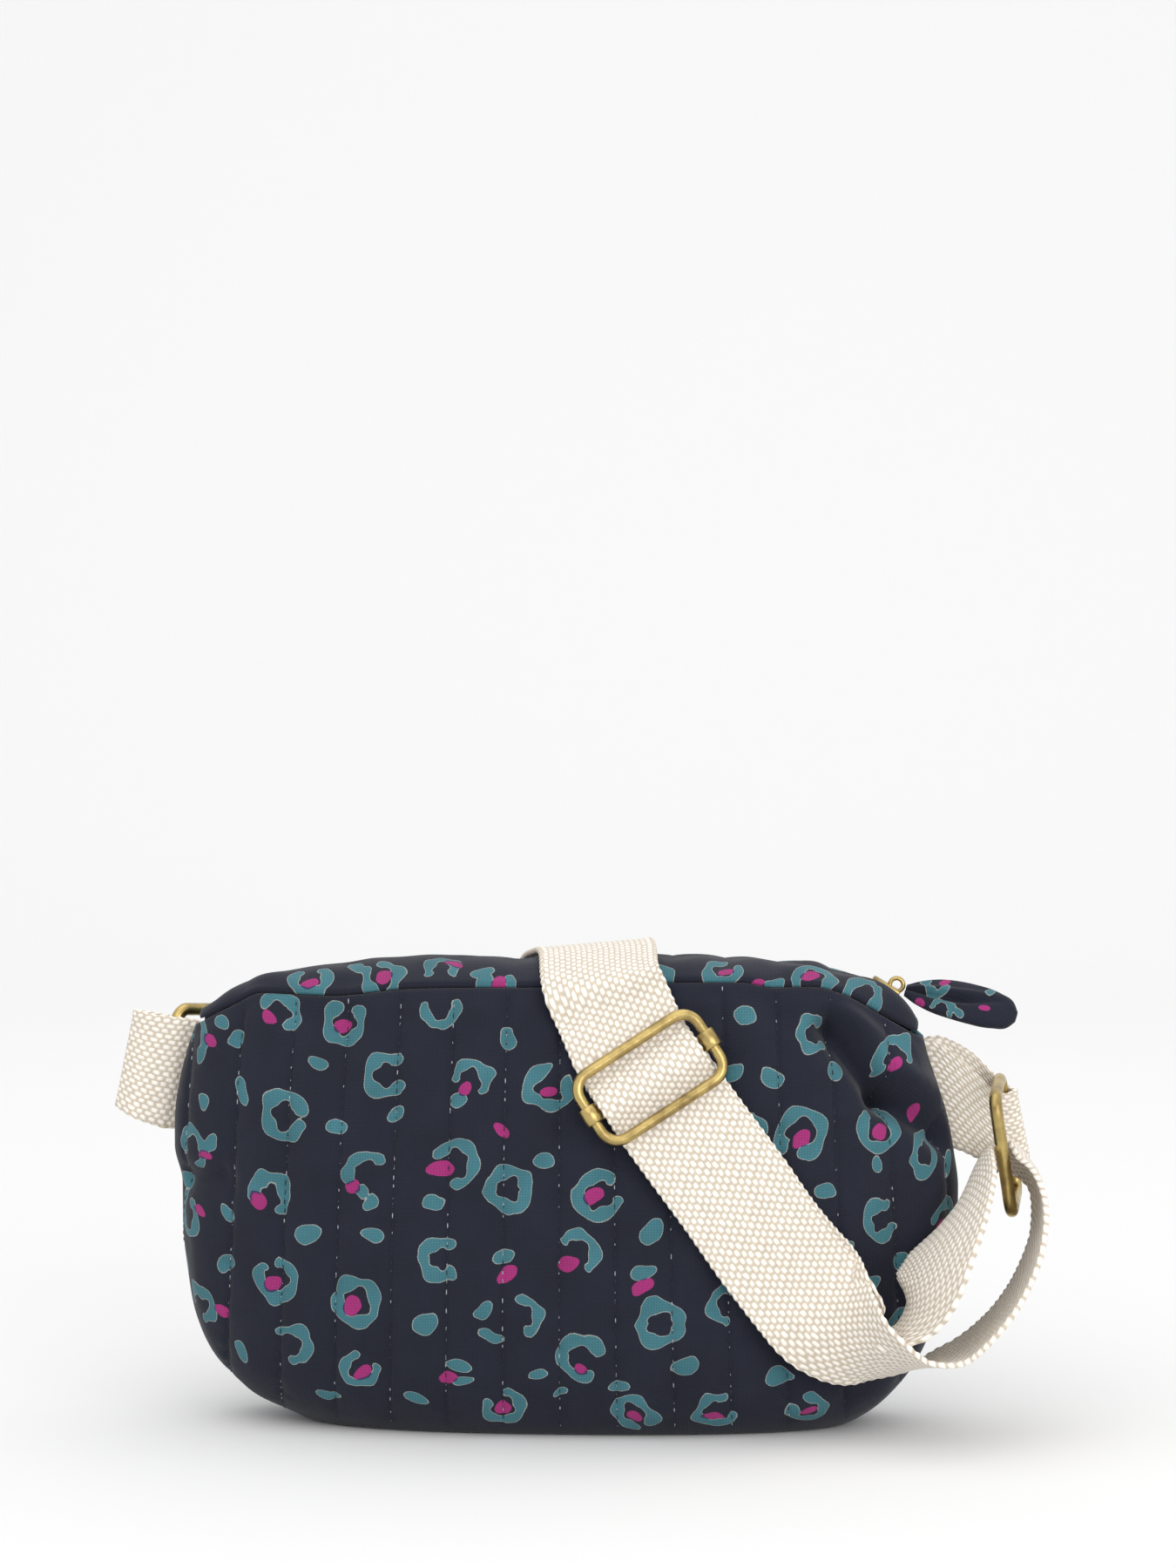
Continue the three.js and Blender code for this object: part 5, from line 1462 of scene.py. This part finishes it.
class BAG_OT_stage(bpy.types.Operator):
    """Makes the pale floor, the soft light and the camera."""

    bl_idname = "belt_bag.stage"
    bl_label = "Stage"

    def execute(self, context):
        settings = context.scene.bag_stage
        scene = context.scene
        bm = bmesh.new()
        bmesh.ops.create_grid(bm, x_segments=2, y_segments=60, size=1)
        for vert in bm.verts:
            run = vert.co.y * 3.0 + 1.0
            bend = max(0.0, run - FLOOR_FLAT)
            angle = min(bend / FLOOR_BEND, math.pi / 2)
            vert.co.x *= 6
            vert.co.y = run if bend == 0 else FLOOR_FLAT + FLOOR_BEND * math.sin(angle)
            vert.co.z = FLOOR_BEND * (1 - math.cos(angle)) + max(0.0, bend - FLOOR_BEND * math.pi / 2)
        mesh = made_mesh("floor_sweep", bm)
        floor = bpy.data.objects.new("floor_sweep", mesh)
        scene.collection.objects.link(floor)
        mesh.polygons.foreach_set("use_smooth", [True] * len(mesh.polygons))
        # Matt white paper: bright, with no shine.
        paper, _, _ = new_material(
            "matt_white_paper",
            {"Roughness": 1.0, "Specular IOR Level": 0.0, "Base Color": rgba(settings.floor)},
        )
        mesh.materials.append(paper)
        world = bpy.data.worlds.new("studio")
        world.use_nodes = True
        back = world.node_tree.nodes["Background"]
        back.inputs["Color"].default_value = (1.0, 1.0, 1.0, 1.0)
        back.inputs["Strength"].default_value = 1.0
        scene.world = world
        for name, place, aim, size, power in LIGHTS:
            data = bpy.data.lights.new(name, "AREA")
            data.shape = "SQUARE"
            data.size = size
            data.energy = power
            lamp = bpy.data.objects.new(name, data)
            lamp.location = place
            lamp.rotation_euler = (Vector(aim) - Vector(place)).to_track_quat("-Z", "Y").to_euler()
            scene.collection.objects.link(lamp)
        data = bpy.data.cameras.new("photo_view")
        data.sensor_fit = "HORIZONTAL"
        data.sensor_width = 36
        data.lens = settings.lens
        data.clip_end = 50
        camera = bpy.data.objects.new("photo_view", data)
        camera.location = CAMERA_AT
        ahead = Vector((
            -math.sin(settings.azimuth) * math.cos(settings.pitch),
            math.cos(settings.azimuth) * math.cos(settings.pitch),
            -math.sin(settings.pitch),
        ))
        camera.rotation_euler = ahead.to_track_quat("-Z", "Y").to_euler()
        scene.collection.objects.link(camera)
        scene.camera = camera
        scene.view_settings.view_transform = "Standard"
        return {"FINISHED"}


class BAG_PT_panel(bpy.types.Panel):
    """Lists the bag's sizes, colours and pieces in the sidebar."""

    bl_label = "Belt bag"
    bl_idname = "BAG_PT_panel"
    bl_space_type = "VIEW_3D"
    bl_region_type = "UI"
    bl_category = "Belt bag"

    def draw(self, context):
        for group in GROUPS:
            box = self.layout.box()
            settings = getattr(context.scene, group)
            for name in settings.__annotations__:
                box.prop(settings, name)
        for operator in OPERATORS:
            self.layout.operator(operator.bl_idname)


GROUPS = {
    "bag_cloth": ClothSettings,
    "bag_webbing": WebbingSettings,
    "bag_brass": BrassSettings,
    "bag_stage": StageSettings,
}
OPERATORS = (
    BAG_OT_stage,
    BAG_OT_quilted_panels,
    BAG_OT_top_strips,
    BAG_OT_zip,
    BAG_OT_pull,
    BAG_OT_webbing,
    BAG_OT_brass,
)


def register():
    for kind in (*GROUPS.values(), *OPERATORS, BAG_PT_panel):
        bpy.utils.register_class(kind)
    for name, kind in GROUPS.items():
        setattr(bpy.types.Scene, name, bpy.props.PointerProperty(type=kind))


def unregister():
    for name in GROUPS:
        delattr(bpy.types.Scene, name)
    for kind in (BAG_PT_panel, *reversed(OPERATORS), *reversed(GROUPS.values())):
        bpy.utils.unregister_class(kind)


def main():
    register()
    bpy.ops.belt_bag.stage()
    bpy.ops.belt_bag.quilted_panels()
    bpy.ops.belt_bag.top_strips()
    bpy.ops.belt_bag.zip()
    bpy.ops.belt_bag.pull()
    bpy.ops.belt_bag.webbing()
    bpy.ops.belt_bag.brass()


if __name__ == "__main__":
    main()
